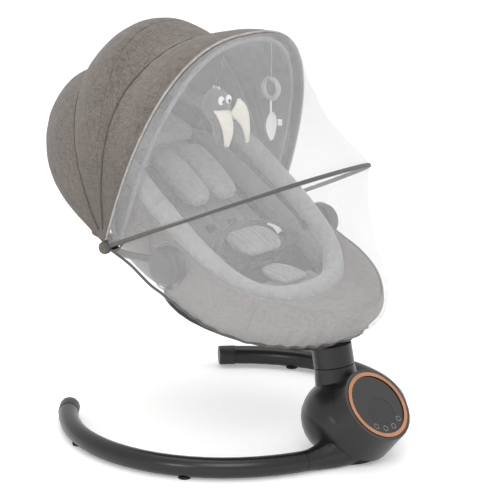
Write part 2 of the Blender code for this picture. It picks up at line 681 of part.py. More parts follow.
def net_reach(angle):
    """The net's reach from the pivots: drawn in between the hood, its bow and the foot."""
    knots = (-24, -18, -12, -5, 3, 10, 17, 24, 33, 45, 57, 66)
    reach = (0.360, 0.384, 0.394, 0.396, 0.380, 0.362, 0.356, 0.356, 0.330, 0.313, 0.330, 0.352)
    return float(np.interp(angle, knots, reach))


def net():
    bow_with_eyes("net_bow", NET_BOW, NET_A, NET_BOW_REACH, 0.0045, "hood_fabric", 2.1)
    upper = [arch(a, NET_A, net_reach(a), 2.3, 11, 19) for a in np.linspace(28, 66, 6)]
    cloth("net_upper", upper, "net", 0.0012, -1)
    lower = [arch(a, 0.2120, net_reach(a), 2.1, 16 + 0.9 * (19 - a), 21)
             for a in np.linspace(-17, 19, 6)]
    cloth("net_lower", lower, "net", 0.0012, -1)


TOY_X, TOY_Y, TOY_TOP = 0.060, -0.036, 0.6485


def toys():
    """Two hanging toys: a plush sea creature, and a teething ring with a leaf below it."""
    body = ball("toy_plush", 0.024, "toy_plush", (-TOY_X, TOY_Y, 0.556), (1, 0.9, 0.9), 12, 8)
    legs = cylinder("toy_plush_legs", 0.036, 0.062, None, (-TOY_X, TOY_Y, 0.5175), (0, 0, 0), 12,
                    0.014)
    cord = cylinder("toy_plush_cord", 0.0012, 0.085, None, (-TOY_X, TOY_Y, TOY_TOP - 0.0425),
                    sides=8)
    for tool in (legs, cord):
        boolean(body, tool, "UNION")
    bpy.ops.mesh.primitive_torus_add(major_segments=20, minor_segments=8, major_radius=0.0165,
                                     minor_radius=0.0042, location=(TOY_X, TOY_Y, 0.572),
                                     rotation=(0, pi / 2, 0))
    ring = bpy.context.object
    ring.users_collection[0].objects.unlink(ring)
    PARTS.objects.link(ring)
    ring.name = "toy_ring"
    ring.data.materials.append(material("toy_clear"))
    cord = cylinder("toy_ring_cord", 0.0012, 0.062, None, (TOY_X, TOY_Y, TOY_TOP - 0.031),
                    sides=8)
    boolean(ring, cord, "UNION")
    leaf = ball("toy_leaf", 0.020, "toy_clear", (TOY_X, TOY_Y, 0.508), (0.30, 0.75, 1.25), 12, 8)
    loop = cylinder("toy_leaf_cord", 0.0012, 0.020, None, (TOY_X, TOY_Y, 0.5395), sides=8)
    boolean(leaf, loop, "UNION")


floor_tubes()
pod_housing()
pod_cover()
control_panel()
drive_train()
pod_fittings()
tube("seat_frame", seat_tube_line(), TUBE_SEAT, "frame_steel", 2)
neck_sleeve()
hubs()
back_frame()
seat_shells()
pads()
harness()
hood()
net()
toys()
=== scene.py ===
"""Baby swing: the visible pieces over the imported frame.

Metres, +Z up. The front is -Y, and the ring base stands on z = 0.
"""
import json
from math import cos, pi, radians, sin

import bmesh
import bpy
import numpy as np
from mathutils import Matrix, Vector, noise


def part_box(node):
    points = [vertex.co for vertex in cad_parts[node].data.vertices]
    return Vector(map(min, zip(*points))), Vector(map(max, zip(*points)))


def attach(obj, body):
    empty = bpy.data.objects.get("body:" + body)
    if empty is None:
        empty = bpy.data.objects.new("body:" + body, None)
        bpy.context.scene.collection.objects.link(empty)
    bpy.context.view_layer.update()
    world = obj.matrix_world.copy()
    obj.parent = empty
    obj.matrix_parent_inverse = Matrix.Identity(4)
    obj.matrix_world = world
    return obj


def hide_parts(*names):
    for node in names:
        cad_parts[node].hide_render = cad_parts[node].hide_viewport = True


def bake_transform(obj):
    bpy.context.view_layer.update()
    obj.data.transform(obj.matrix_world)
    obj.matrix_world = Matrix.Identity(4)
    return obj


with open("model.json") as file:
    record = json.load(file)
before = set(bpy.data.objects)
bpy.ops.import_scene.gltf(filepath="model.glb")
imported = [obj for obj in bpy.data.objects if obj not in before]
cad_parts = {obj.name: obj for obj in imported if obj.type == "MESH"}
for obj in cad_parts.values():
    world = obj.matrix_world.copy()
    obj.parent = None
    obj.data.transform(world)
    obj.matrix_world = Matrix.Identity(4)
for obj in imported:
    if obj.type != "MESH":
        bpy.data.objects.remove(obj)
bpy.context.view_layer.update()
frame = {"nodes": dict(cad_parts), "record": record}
NODES = frame["nodes"]
SCENE = bpy.context.scene

# ---------------------------------------------------------------- dimensions
PIVOT_Y, PIVOT_Z = 0.082, 0.332          # axis of the bows
FRONT_BOW, MID_BOW, NET_BOW = 70.0, 102.0, 23.8     # bows, degrees above the front
MID_GORE, REAR_GORE, HOOD_END = 101.7, 147.4, 189.0    # where the gores behind the front one
REAR_SEAM = 125.5                                      # the seam along the middle gore
NET_REACH = 0.364
NET_WIDTH = 0.2110                       # half width of the net's bow
PANEL_TILT, PANEL_Y, PANEL_Z = 48.2, -0.3235, 0.1015   # the touch panel's lean and centre
SIDES = (1, "left"), (-1, "right")
TOY_X, TOY_Y = 0.06, -0.036              # the toys hang this far to each side

# the tub's skin in strips from front to head: the opening's edge, the widest line, the turn of
# the underside, and the keel (half of it; the other half mirrors)
SKIN = (((0, -0.174, 0.257), (0, -0.294, 0.256), (0, -0.287, 0.228), (0, -0.262, 0.214)),
        ((0.033, -0.172, 0.258), (0.045, -0.285, 0.257), (0.045, -0.273, 0.226), (0, -0.245, 0.212)),
        ((0.071, -0.164, 0.261), (0.088, -0.258, 0.263), (0.085, -0.241, 0.224), (0, -0.215, 0.209)),
        ((0.104, -0.146, 0.270), (0.130, -0.209, 0.278), (0.122, -0.195, 0.226), (0, -0.180, 0.207)),
        ((0.130, -0.118, 0.290), (0.160, -0.150, 0.294), (0.150, -0.142, 0.240), (0, -0.142, 0.206)),
        ((0.147, -0.078, 0.321), (0.171, -0.092, 0.312), (0.159, -0.092, 0.254), (0, -0.090, 0.206)),
        ((0.154, -0.020, 0.364), (0.172, -0.028, 0.345), (0.160, -0.024, 0.268), (0, -0.015, 0.214)),
        ((0.153, 0.050, 0.413), (0.165, 0.050, 0.385), (0.148, 0.058, 0.276), (0, 0.070, 0.242)),
        ((0.148, 0.115, 0.459), (0.155, 0.122, 0.430), (0.138, 0.135, 0.320), (0, 0.145, 0.285)),
        ((0.134, 0.176, 0.499), (0.138, 0.186, 0.470), (0.116, 0.200, 0.375), (0, 0.210, 0.340)),
        ((0.104, 0.228, 0.529), (0.106, 0.240, 0.505), (0.083, 0.255, 0.435), (0, 0.262, 0.405)),
        ((0.060, 0.260, 0.546), (0.062, 0.272, 0.525), (0.044, 0.282, 0.490), (0, 0.288, 0.470)),
        ((0, 0.272, 0.550), (0, 0.284, 0.535), (0, 0.289, 0.515), (0, 0.289, 0.500)))


# ---------------------------------------------------------------- shape helpers
def power(value, exponent):
    return np.sign(value) * abs(value) ** exponent


def smooth(x, xs, ys):
    """Smooth interpolation through the points (xs, ys)."""
    xs, ys = np.array(xs, float), np.array(ys, float)
    slopes = np.gradient(ys, xs)
    i = int(np.clip(np.searchsorted(xs, x) - 1, 0, len(xs) - 2))
    h = xs[i + 1] - xs[i]
    t = min(max((x - xs[i]) / h, 0), 1)
    return ((2 * t ** 3 - 3 * t ** 2 + 1) * ys[i] + (t ** 3 - 2 * t ** 2 + t) * h * slopes[i]
            + (3 * t ** 2 - 2 * t ** 3) * ys[i + 1] + (t ** 3 - t ** 2) * h * slopes[i + 1])


def ease(low, high, value):
    t = min(max((value - low) / (high - low), 0), 1)
    return t * t * (3 - 2 * t)


def path(points, count):
    """A smooth line of count points through the given ones."""
    points = [Vector(p) for p in points]
    lengths = np.cumsum([0] + [(b - a).length for a, b in zip(points, points[1:])])
    return [Vector([smooth(s, lengths, [p[k] for p in points]) for k in range(3)])
            for s in np.linspace(0, lengths[-1], count)]


def arch_point(angle, half_width, reach, square, t):
    """A point of a superellipse arch about the bow pivots: t runs from 0 to pi, left of the seat
    last."""
    along = reach * power(sin(t), 2 / square)
    return Vector((-half_width * power(cos(t), 2 / square),
                   PIVOT_Y - along * cos(radians(angle)), PIVOT_Z + along * sin(radians(angle))))


def on_panel(out, x=0.0, up=0.0):
    t = radians(PANEL_TILT)
    return Vector((x, PANEL_Y - out * sin(t) + up * cos(t), PANEL_Z + out * cos(t) + up * sin(t)))


def circle(count):
    """Evenly spaced angles all the way round."""
    return np.linspace(0, 2 * pi, count, endpoint=False)


def arc(start, count):
    """Places along an arch, from start degrees above one pivot to the same above the other."""
    return np.linspace(radians(start), pi - radians(start), count)


def outward(point, narrow=1.0):
    """The direction from the bow pivots to a point."""
    return Vector((point.x * narrow, point.y - PIVOT_Y, point.z - PIVOT_Z)).normalized()


def mirrored(point, side=-1):
    return Vector((side * point.x, point.y, point.z))


def made(bm, name):
    """A mesh of what a bmesh holds."""
    mesh = bpy.data.meshes.new(name)
    bm.to_mesh(mesh)
    bm.free()
    return mesh


def place(piece, slot, body):
    """Lets a piece ride on a body; the slot is not used."""
    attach(piece, body)
    return piece


def link(name, mesh, *materials):
    piece = bpy.data.objects.new(name, mesh)
    SCENE.collection.objects.link(piece)
    for material in materials:
        mesh.materials.append(material)
    for polygon in mesh.polygons:
        polygon.use_smooth = True
    return piece


def apply_modifiers(piece):
    """Replaces a piece's mesh with what its modifiers make of it."""
    graph = bpy.context.evaluated_depsgraph_get()
    mesh = bpy.data.meshes.new_from_object(piece.evaluated_get(graph))
    piece.modifiers.clear()
    piece.data = mesh
    for polygon in mesh.polygons:
        polygon.use_smooth = True
    return piece


def area_of(piece):
    """The area of a piece's faces."""
    return sum(p.area for p in piece.data.polygons)


def grid(name, rows, *materials, thickness=0.0, offset=-1):
    """A sheet through rows of points, with UVs in metres along it and its thickness applied."""
    bm = bmesh.new()
    verts = [[bm.verts.new(p) for p in row] for row in rows]
    uv = bm.loops.layers.uv.new("UVMap")
    middle = len(rows[0]) // 2
    across = np.cumsum([0] + [(b - a).length for a, b in zip(rows[len(rows) // 2],
                                                             rows[len(rows) // 2][1:])])
    along = np.cumsum([0] + [(b[middle] - a[middle]).length for a, b in zip(rows, rows[1:])])
    for i in range(len(rows) - 1):
        for j in range(len(rows[0]) - 1):
            corners = ((i, j), (i, j + 1), (i + 1, j + 1), (i + 1, j))
            face = bm.faces.new([verts[a][b] for a, b in corners])
            for loop, (a, b) in zip(face.loops, corners):
                loop[uv].uv = (across[b], along[a])
    piece = link(name, made(bm, name), *materials)
    if thickness:
        solid = piece.modifiers.new("thickness", "SOLIDIFY")
        solid.thickness = thickness
        solid.offset = offset
        solid.use_even_offset = False
        if len(materials) > 1:
            solid.material_offset = 1
        apply_modifiers(piece)
    return piece


def closed(name, rings, material):
    """A closed form through rings of points, with a fan at each end."""
    bm = bmesh.new()
    verts = [[bm.verts.new(p) for p in ring] for ring in rings]
    count = len(rings[0])
    for a, b in zip(verts, verts[1:]):
        for j in range(count):
            k = (j + 1) % count
            bm.faces.new((a[j], a[k], b[k], b[j]))
    for ring in (verts[0], verts[-1]):
        centre = bm.verts.new(sum((v.co for v in ring), Vector()) / count)
        for j in range(count):
            bm.faces.new((ring[j], ring[(j + 1) % count], centre))
    bmesh.ops.recalc_face_normals(bm, faces=bm.faces)
    return link(name, made(bm, name), material)


def sweep(name, points, width, height, material, up=(0, -0.5, 0.85), sides=16):
    """A closed roll along points: width and height are half sizes, one for each point or one for
    all."""
    count = len(points)
    width = np.broadcast_to(width, count)
    height = np.broadcast_to(height, count)
    rings = []
    for i, point in enumerate(points):
        ahead = points[min(i + 1, count - 1)] - points[max(i - 1, 0)]
        side = ahead.cross(Vector(up)).normalized()
        top = side.cross(ahead).normalized()
        rings.append([point + side * (width[i] * cos(a)) + top * (height[i] * sin(a))
                      for a in circle(sides)])
    return closed(name, rings, material)


def tube(name, points, radius, material, sides=12):
    return sweep(name, points, radius, radius, material, (0, 0, 1), sides)


def ends(count, blunt=3):
    """1 along a roll's middle, rounding to a small value at both ends."""
    taper = np.ones(count)
    for i in range(blunt):
        taper[i] = taper[-1 - i] = (1 - ((blunt - i) / (blunt + 0.3)) ** 2) ** 0.5
    return taper


def pad_rings(line, widths, thickness, count=28, steps=26, shift=0.0):
    """Rings of a flat cushion along a (y, z) centre line."""
    at = np.linspace(0, 1, len(line))
    rings = []
    for u in np.linspace(0, 1, steps):
        y, z = smooth(u, at, [p[0] for p in line]), smooth(u, at, [p[1] for p in line])
        y2, z2 = (smooth(min(u + 0.02, 1), at, [p[k] for p in line]) for k in (0, 1))
        y1, z1 = (smooth(max(u - 0.02, 0), at, [p[k] for p in line]) for k in (0, 1))
        along = Vector((0, y2 - y1, z2 - z1)).normalized()
        up = Vector((1, 0, 0)).cross(along)
        w, h = smooth(u, at, widths), smooth(u, at, thickness)
        ring = []
        for t in circle(count):
            x = w * power(cos(t), 0.6)
            ring.append(Vector((x + shift, y, z)) + up * (h / 2 * power(sin(t), 0.8)))
        rings.append(ring)
    return rings


def puff(piece, voxel=0.005, cap=0.007, pressure=4.0):
    """Fills a cushion: remeshed, blown up as cloth for 20 frames, no point moving beyond cap."""
    remesh = piece.modifiers.new("remesh", "REMESH")
    remesh.mode = "VOXEL"
    remesh.voxel_size = voxel
    apply_modifiers(piece)
    start = np.array([v.co for v in piece.data.vertices])
    cloth = piece.modifiers.new("cloth", "CLOTH")
    cloth.settings.use_pressure = True
    cloth.settings.uniform_pressure_force = pressure
    cloth.settings.effector_weights.gravity = 0
    for number in range(1, 21):
        SCENE.frame_set(number)
    graph = bpy.context.evaluated_depsgraph_get()
    blown = np.array([v.co for v in piece.evaluated_get(graph).data.vertices])
    piece.modifiers.clear()
    SCENE.frame_set(1)
    moved = blown - start
    far = np.linalg.norm(moved, axis=1, keepdims=True)
    moved *= np.minimum(1, cap / np.maximum(far, 1e-9))
    piece.data.vertices.foreach_set("co", (start + moved).ravel())
    finer = piece.modifiers.new("finer", "SUBSURF")
    finer.levels = finer.render_levels = 1
    apply_modifiers(piece)
    return piece


def press(piece, depth):
    """Moves each point along its normal by depth(point), such as into a seam."""
    normals = [Vector(v.normal) for v in piece.data.vertices]
    for vert, normal in zip(piece.data.vertices, normals):
        vert.co = vert.co + normal * depth(vert.co)
    piece.data.update()
    return piece


def groove(distance, depth, width):
    """How far a stitched line pulls the surface in at a distance from it."""
    return -depth * np.exp(-(distance / width) ** 2)


# ---------------------------------------------------------------- materials
class Shader:
    """A procedural material: its nodes are added one call at a time."""

    def __init__(self, name, **fixed):
        self.material = bpy.data.materials.new(name)
        self.material.use_nodes = True
        self.tree = self.material.node_tree
        self.surface = self.tree.nodes["Principled BSDF"]
        self.fix(**fixed)
        place = self.tree.nodes.new("ShaderNodeTexCoord")
        self.object, self.uv = place.outputs["Object"], place.outputs["UV"]

    def fix(self, **fixed):
        for socket, value in fixed.items():
            self.surface.inputs[socket.replace("_", " ")].default_value = value

    def node(self, kind, out=0, settings=None, **inputs):
        """A node and its inputs, given as values or as other nodes' outputs; returns an output."""
        node = self.tree.nodes.new("ShaderNode" + kind)
        for name, value in (settings or {}).items():
            setattr(node, name, value)
        for name, value in inputs.items():
            socket = node.inputs[int(name[1:]) if name[0] == "i" and name[1:].isdigit()
                                 else name.replace("_", " ")]
            if isinstance(value, bpy.types.NodeSocket):
                self.tree.links.new(value, socket)
            else:
                socket.default_value = value
        return node.outputs[out]

    def math(self, operation, a, b=0.0, c=0.0):
        return self.node("Math", settings={"operation": operation}, i0=a, i1=b, i2=c)

    def scaled(self, x=1.0, y=1.0, z=1.0, source=None, turn=0.0):
        return self.node("Mapping", Vector=source or self.object, Scale=(x, y, z),
                         Rotation=(0, 0, turn))

    def noise(self, scale, detail=2.0, rough=0.5, vector=None):
        node = self.tree.nodes.new("ShaderNodeTexNoise")
        self.tree.links.new(vector or self.object, node.inputs["Vector"])
        node.inputs["Scale"].default_value = scale
        node.inputs["Detail"].default_value = detail
        node.inputs["Roughness"].default_value = rough
        return node.outputs[0]

    def waves(self, period, vector, axis="X"):
        """Threads of a given period in metres."""
        return self.node("TexWave", 1, {"bands_direction": axis}, Vector=vector,
                         Scale=2 * pi / 20 / period)

    def between(self, value, low, high, to_low=0.0, to_high=1.0):
        return self.node("MapRange", i0=value, i1=low, i2=high, i3=to_low, i4=to_high)

    def blend(self, factor, dark, light):
        return self.node("MixRGB", i0=factor, i1=dark, i2=light)

    def colour(self, value):
        self.tree.links.new(value, self.surface.inputs["Base Color"])
        return self

    def rough(self, value):
        self.tree.links.new(value, self.surface.inputs["Roughness"])
        return self

    def bump(self, height, distance, strength=1.0):
        normal = self.node("Bump", Height=height, Distance=distance, Strength=strength)
        self.tree.links.new(normal, self.surface.inputs["Normal"])
        return self


def rgb(*levels):
    """A colour from its screen levels, 0 to 255."""
    return tuple(((v / 255 + 0.055) / 1.055) ** 2.4 if v > 10 else v / 255 / 12.92
                 for v in levels) + (1.0,)


def toned(tone, by, more=0.0):
    """A colour made darker or lighter."""
    return tuple(min(v * by + more, 1) for v in tone[:3]) + (1,)


def marl(name, dark, light, source="uv", period=0.0011):
    """Marled linen: slubbed threads both ways, with the weave's own relief."""
    s = Shader(name, Roughness=0.9, Sheen_Weight=0.18, Sheen_Roughness=0.6,
               Specular_IOR_Level=0.25)
    place = s.uv if source == "uv" else s.object
    weft = s.noise(1.0, 3.0, 0.65, s.scaled(58, 450, 450, place))
    warp = s.noise(1.0, 3.0, 0.65, s.scaled(410, 50, 410, place))
    cloud = s.noise(14.0, 3.0, 0.5)
    across, along = s.waves(period, place, "X"), s.waves(period, place, "Y")
    weave = s.math("MULTIPLY", across, along)
    threads = s.math("ADD", s.math("MULTIPLY", weft, 0.55), s.math("MULTIPLY", warp, 0.45))
    tone = s.between(threads, 0.34, 0.66)
    tone = s.math("ADD", tone, s.math("MULTIPLY_ADD", cloud, 0.36, -0.18))
    tone = s.math("ADD", tone, s.math("MULTIPLY_ADD", weave, 0.16, -0.04))
    s.colour(s.blend(tone, dark, light))
    s.rough(s.between(threads, 0.2, 0.8, 0.82, 0.97))
    s.bump(s.math("ADD", s.math("MULTIPLY", weave, 0.6), threads), 0.0006, 0.8)
    return s.material


def plush(name, dark, light, pile=900.0, depth=0.0011, sheen=0.45):
    """Short pile: its tips part in soft clumps and catch the light."""
    s = Shader(name, Roughness=0.95, Sheen_Weight=sheen, Sheen_Roughness=0.45,
               Specular_IOR_Level=0.15)
    tips = s.noise(pile, 2.0, 0.6)
    clumps = s.noise(110.0, 3.0, 0.65)
    shade = s.noise(18.0, 2.0, 0.5)
    tone = s.math("ADD", s.between(tips, 0.3, 0.7, 0.0, 0.45),
                  s.between(clumps, 0.3, 0.7, 0.0, 0.40))
    tone = s.math("ADD", tone, s.math("MULTIPLY_ADD", shade, 0.5, -0.20))
    s.colour(s.blend(tone, dark, light))
    s.rough(s.between(clumps, 0.3, 0.7, 0.86, 1.0))
    s.bump(s.math("ADD", tips, s.math("MULTIPLY", clumps, 1.6)), depth, 0.9)
    return s.material


def knit(name, dark, light, source="object", period=0.0016):
    """Close smooth jersey with fine ribs."""
    s = Shader(name, Roughness=0.88, Sheen_Weight=0.25, Sheen_Roughness=0.5,
               Specular_IOR_Level=0.2)
    place = s.uv if source == "uv" else s.object
    ribs = s.waves(period, place, "X" if source == "uv" else "DIAGONAL")
    fluff, shade = s.noise(700.0, 2.0), s.noise(24.0, 3.0, 0.55)
    tone = s.math("ADD", s.math("MULTIPLY", ribs, 0.25), s.math("MULTIPLY", fluff, 0.35))
    tone = s.math("ADD", tone, s.math("MULTIPLY_ADD", shade, 0.7, -0.15))
    s.colour(s.blend(tone, dark, light))
    s.rough(s.between(fluff, 0.3, 0.7, 0.80, 0.95))
    s.bump(s.math("ADD", ribs, fluff), 0.0004, 0.6)
    return s.material


def webbing(name, dark, light, ribs=0.0018):
    """Woven tape: ribs across it and a fine herringbone of thread."""
    s = Shader(name, Roughness=0.75, Sheen_Weight=0.15, Specular_IOR_Level=0.3)
    rib = s.waves(ribs, s.object, "Y")
    twill = s.waves(ribs * 0.7, s.scaled(1, 1, 1, None, 0.7), "X")
    fuzz = s.noise(800.0, 2.0)
    tone = s.math("ADD", s.math("MULTIPLY", s.math("MULTIPLY", rib, twill), 0.6),
                  s.math("MULTIPLY", fuzz, 0.5))
    s.colour(s.blend(tone, dark, light))
    s.rough(s.between(fuzz, 0.3, 0.7, 0.65, 0.85))
    s.bump(s.math("ADD", s.math("MULTIPLY", rib, 0.8), twill), 0.0005, 0.8)
    return s.material


def mesh_cloth(name, thread, cell, cover):
    """Mosquito net: a woven grid of threads with open cells between them."""
    s = Shader(name, Roughness=0.7, Sheen_Weight=0.3, Specular_IOR_Level=0.3)
    across = s.waves(cell, s.uv, "X")
    along = s.waves(cell, s.uv, "Y")
    lines = s.math("MAXIMUM", across, along)
    edge = 0.5 + 0.5 * cos(pi * (1 - (1 - cover) ** 0.5))
    solid = s.between(lines, edge - 0.06, edge + 0.06)
    dust = s.noise(240.0, 2.0)
    s.colour(s.blend(s.between(dust, 0.3, 0.7), toned(thread, 0.88), thread))
    s.rough(s.between(dust, 0.3, 0.7, 0.6, 0.8))
    s.tree.links.new(solid, s.surface.inputs["Alpha"])
    s.bump(lines, 0.0003, 0.5)
    return s.material


def plastic(name, tone, rough, grain=1500.0, shine=0.32):
    """Moulded plastic: a fine spark-eroded grain, faint flow clouds and pale streaks, painted as
    scuff wear and as sheen.
    """
    s = Shader(name, IOR=1.5, Specular_IOR_Level=shine)
    fine, cloud = s.noise(grain, 2.0, 0.6), s.noise(9.0, 4.0, 0.6)
    scuffs_and_sheen = s.between(s.noise(45.0, 6.0, 0.75, s.scaled(1.0, 5.0, 2.0)), 0.64, 0.74)
    base = s.blend(s.between(cloud, 0.3, 0.7), toned(tone, 0.90), toned(tone, 1.10))
    # pale streaks: partly scuff wear, partly painted sheen in the base colour
    s.colour(s.blend(s.math("MULTIPLY", scuffs_and_sheen, 0.35), base, toned(tone, 1.5, 0.004)))
    level = s.between(cloud, 0.3, 0.7, rough - 0.05, rough + 0.05)
    s.rough(s.math("ADD", level, s.math("MULTIPLY_ADD", fine, 0.08, -0.04)))
    s.bump(fine, 0.00006, 0.5)
    return s.material


def metal(name, tone, rough=0.3, lines=900.0):
    """Drawn or turned metal with fine lines and a little tarnish."""
    s = Shader(name, Metallic=1.0)
    brushed = s.noise(lines, 3.0, 0.6, s.scaled(1.0, 1.0, 0.06))
    tarnish = s.noise(30.0, 4.0, 0.6)
    s.colour(s.blend(s.between(tarnish, 0.3, 0.75), tone, toned(tone, 0.78)))
    s.rough(s.math("ADD", s.between(brushed, 0.3, 0.7, rough - 0.06, rough + 0.06),
                   s.math("MULTIPLY", tarnish, 0.05)))
    s.bump(brushed, 0.00004, 0.4)
    return s.material


LINEN = marl("hood_linen", rgb(50, 46, 42), rgb(126, 117, 109))
LINEN_COVER = marl("cover_linen", rgb(66, 61, 57), rgb(138, 130, 124), "object")
LINING = knit("lining", rgb(104, 104, 108), rgb(140, 139, 142), "uv")
PIPING_PALE = marl("piping_pale", rgb(120, 117, 114), rgb(186, 183, 180), "object", 0.0008)
SEAM = marl("seam", rgb(58, 53, 49), rgb(108, 101, 95), "object", 0.0008)
PLUSH = plush("plush", rgb(70, 69, 72), rgb(132, 131, 134))
PLUSH_LIGHT = plush("plush_light", rgb(116, 116, 118), rgb(182, 182, 184))
# dark plush: real dark velour for the waist sash, and painted shade for the roll under the bolster
PLUSH_DARK_AND_SHADE = plush("plush_dark_and_painted_shade", rgb(40, 39, 41), rgb(78, 77, 80))
PAD = plush("pad_plush", rgb(108, 107, 109), rgb(178, 177, 179), 700.0, 0.0013)
SHELL = knit("tub_lining", rgb(44, 43, 45), rgb(76, 75, 77), "object")
WEBBING = webbing("strap_webbing", rgb(38, 38, 40), rgb(78, 78, 80))
BINDING = webbing("binding", rgb(70, 68, 66), rgb(116, 113, 110), 0.0012)
NET_WHITE = mesh_cloth("net_mesh", (0.64, 0.64, 0.645, 1), 0.0011, 0.33)
CREATURE = plush("creature_plush", rgb(62, 62, 67), rgb(112, 112, 118), 800.0, 0.0010)
CREAM = plush("cream_felt", rgb(206, 200, 186), rgb(240, 236, 224), 900.0, 0.0006, 0.2)
LEAF = plush("leaf_cloth", rgb(204, 202, 198), rgb(238, 236, 232), 900.0, 0.0005, 0.2)
WHITE_LABEL = knit("label_tape", rgb(222, 222, 222), rgb(246, 246, 246), "object", 0.0006)
THREAD = webbing("stitching", rgb(96, 92, 89), rgb(150, 145, 141), 0.0007)
EYE = plastic("eye_white", rgb(232, 232, 230), 0.25)
EYE_DARK = plastic("eye_dark", rgb(24, 24, 26), 0.12)
HUB = plastic("hub_plastic", rgb(52, 52, 55), 0.40)
ICON = plastic("icon_print", rgb(150, 150, 152), 0.35)
CHARCOAL = plastic("charcoal_plastic_look", rgb(23, 23, 25), 0.30, shine=0.42)
SLOT_LOOKS = {
    "charcoal_plastic": CHARCOAL,
    "end_cap_plastic": plastic("end_cap_look", rgb(40, 40, 42), 0.42),
    "rubber": plastic("rubber_look", rgb(30, 30, 30), 0.8, 700.0),
    "copper_trim": metal("copper_look", rgb(162, 114, 86), 0.30),
    "panel_glass": plastic("panel_look", rgb(20, 19, 20), 0.14, 300.0),
    "display": plastic("display_look", rgb(8, 8, 9), 0.06, 300.0),
    "steel": metal("steel_look", rgb(178, 178, 180), 0.28),
    "frame_steel": plastic("frame_look", rgb(34, 34, 36), 0.38),
    "brass": metal("brass_look", rgb(190, 160, 96), 0.3),
    "gear_plastic": plastic("gear_look", rgb(220, 218, 212), 0.45),
    "circuit_board": plastic("board_look", rgb(30, 84, 52), 0.35),
    "toy_clear": plastic("clear_look", rgb(214, 213, 208), 0.16, 400.0),
}
# the clear ring lets some light through
SLOT_LOOKS["toy_clear"].node_tree.nodes["Principled BSDF"].inputs[
    "Transmission Weight"].default_value = 0.55


def dress_frame():
    """Gives each CAD node its slot's finish, and shades its round faces smooth."""
    for entry in frame["record"]["subparts"]:
        node = NODES[entry["node"]]
        look = SLOT_LOOKS.get(entry["material_slot"], SHELL)
        node.data.materials.clear()
        node.data.materials.append(look)
        for polygon in node.data.polygons:
            polygon.use_smooth = True
        weld = node.modifiers.new("weld", "WELD")
        weld.merge_threshold = 1e-5
        split = node.modifiers.new("edges", "EDGE_SPLIT")
        split.split_angle = radians(38)


# ---------------------------------------------------------------- tub, liner and harness
def skin(k, line):
    """A point on one of the skin's lines, k from 0 at the front to 12 at the head."""
    at = range(len(SKIN))
    return Vector([smooth(k, at, [row[line][axis] for row in SKIN]) for axis in range(3)])


def strip(k, side=1, inset=0.0, count=30):
    """One strip of the skin from the opening's edge to the keel."""
    edge, wide, turn, keel = (skin(k, line) for line in range(4))
    if inset:
        wide = edge + (wide - edge) * 0.18 + Vector((-0.55 * inset, 0, -inset))
        turn = turn + Vector((-0.14 * turn.x - 0.2 * inset, 0, 0.012))
        keel = keel + Vector((0, 0, 0.010))
    top = edge + (wide - edge) * 0.5 + Vector((0, 0, 0.0035 if not inset else -0.004))
    points = path((edge, top, wide, turn, keel), count)
    return [mirrored(p, side) for p in points]


def mouth(low=0.0, high=12.0, out=0.0, up=0.0, count=90):
    """The opening's edge from one side over the front to the other."""
    half = []
    for k in np.linspace(high, low, count):
        p = skin(k, 0)
        half.append(Vector((p.x + out * min(p.x / 0.05, 1), p.y, p.z + up)))
    return [mirrored(p) for p in half] + half[-2::-1]


def recline(piece):
    """Bakes a piece's transform into its mesh."""
    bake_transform(piece)
    return piece


def front_seam(side):
    """The side seam near the front: over the cover and down the flap."""
    top = [p for p in strip(3.3, 1, count=60)[4:] if p.z > skin(3.3, 1).z + 0.004]
    low = skirt_strip(3.3)[2:]
    out = Vector((0.6, -0.5, 0.6)) * 0.0010
    return [mirrored(p, side) + mirrored(out, side) for p in top[:-1] + low]


def tub():
    """The linen cover round the seat and back shells, its lining, edge and seams."""
    rounds = ([(k, 1) for k in np.linspace(0, 12, 92)]
              + [(k, -1) for k in np.linspace(12, 0, 92)[1:]])
    rows = []
    for k, side in rounds:
        row = strip(k, side)
        for i, point in enumerate(row):
            out = Vector((point.x, 0.3 * (point.y + 0.05), -0.05)).normalized()
            fold = noise.noise(point * 14) * 0.0026 + noise.noise(point * 41) * 0.0008
            row[i] = point + out * (fold - 0.0016) * sin(pi * i / (len(row) - 1))
        rows.append(row)
    cover = grid("tub_cover", [list(line) for line in zip(*rows)], LINEN_COVER,
                 thickness=0.0026, offset=1)
    recline(cover)
    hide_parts("seat_shell", "back_shell")
    rows = [strip(k, side, 0.022) for k, side in rounds]
    lining = grid("tub_lining", [list(line) for line in zip(*rows)], SHELL, thickness=0.0022,
                  offset=-1)
    recline(lining)
    for name, line, size in (("tub_edge", mouth(out=0.0008, up=0.0008), 0.0030),
                             ("tub_front_seam_left", front_seam(1), 0.0011),
                             ("tub_front_seam_right", front_seam(-1), 0.0011),
                             ("tub_hip_seam_left", strip(6.6, 1)[2:26], 0.0011),
                             ("tub_hip_seam_right", strip(6.6, -1)[2:26], 0.0011)):
        piece = tube(name, path(line, 40 if "seam" in name else 200), size,
                     BINDING if "edge" in name else SEAM, 8)
        recline(piece)
    size = area_of(cover) / 2
    size = area_of(lining) / 2


def channels(spacing, depth, width, axis=0, around=0.0):
    """Sewn channels at a regular spacing along an axis."""
    def depth_at(point):
        place = (point[axis] - around) / spacing
        return groove((place - round(place)) * spacing, depth, width)
    return depth_at


def cushion(name, material, body, line, widths, thickness, cloth=(0.004, 0.005), sewn=None,
            node=None, **shape):
    """A filled cushion along a (y, z) centre line: cloth is puff's voxel and cap, and sewn gives
    the depth of its channels."""
    piece = closed(name, pad_rings(line, widths, thickness, **shape), material)
    puff(piece, *cloth)
    if sewn:
        press(piece, sewn)
    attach(piece, body)
    if node:
        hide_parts(node)
    return piece


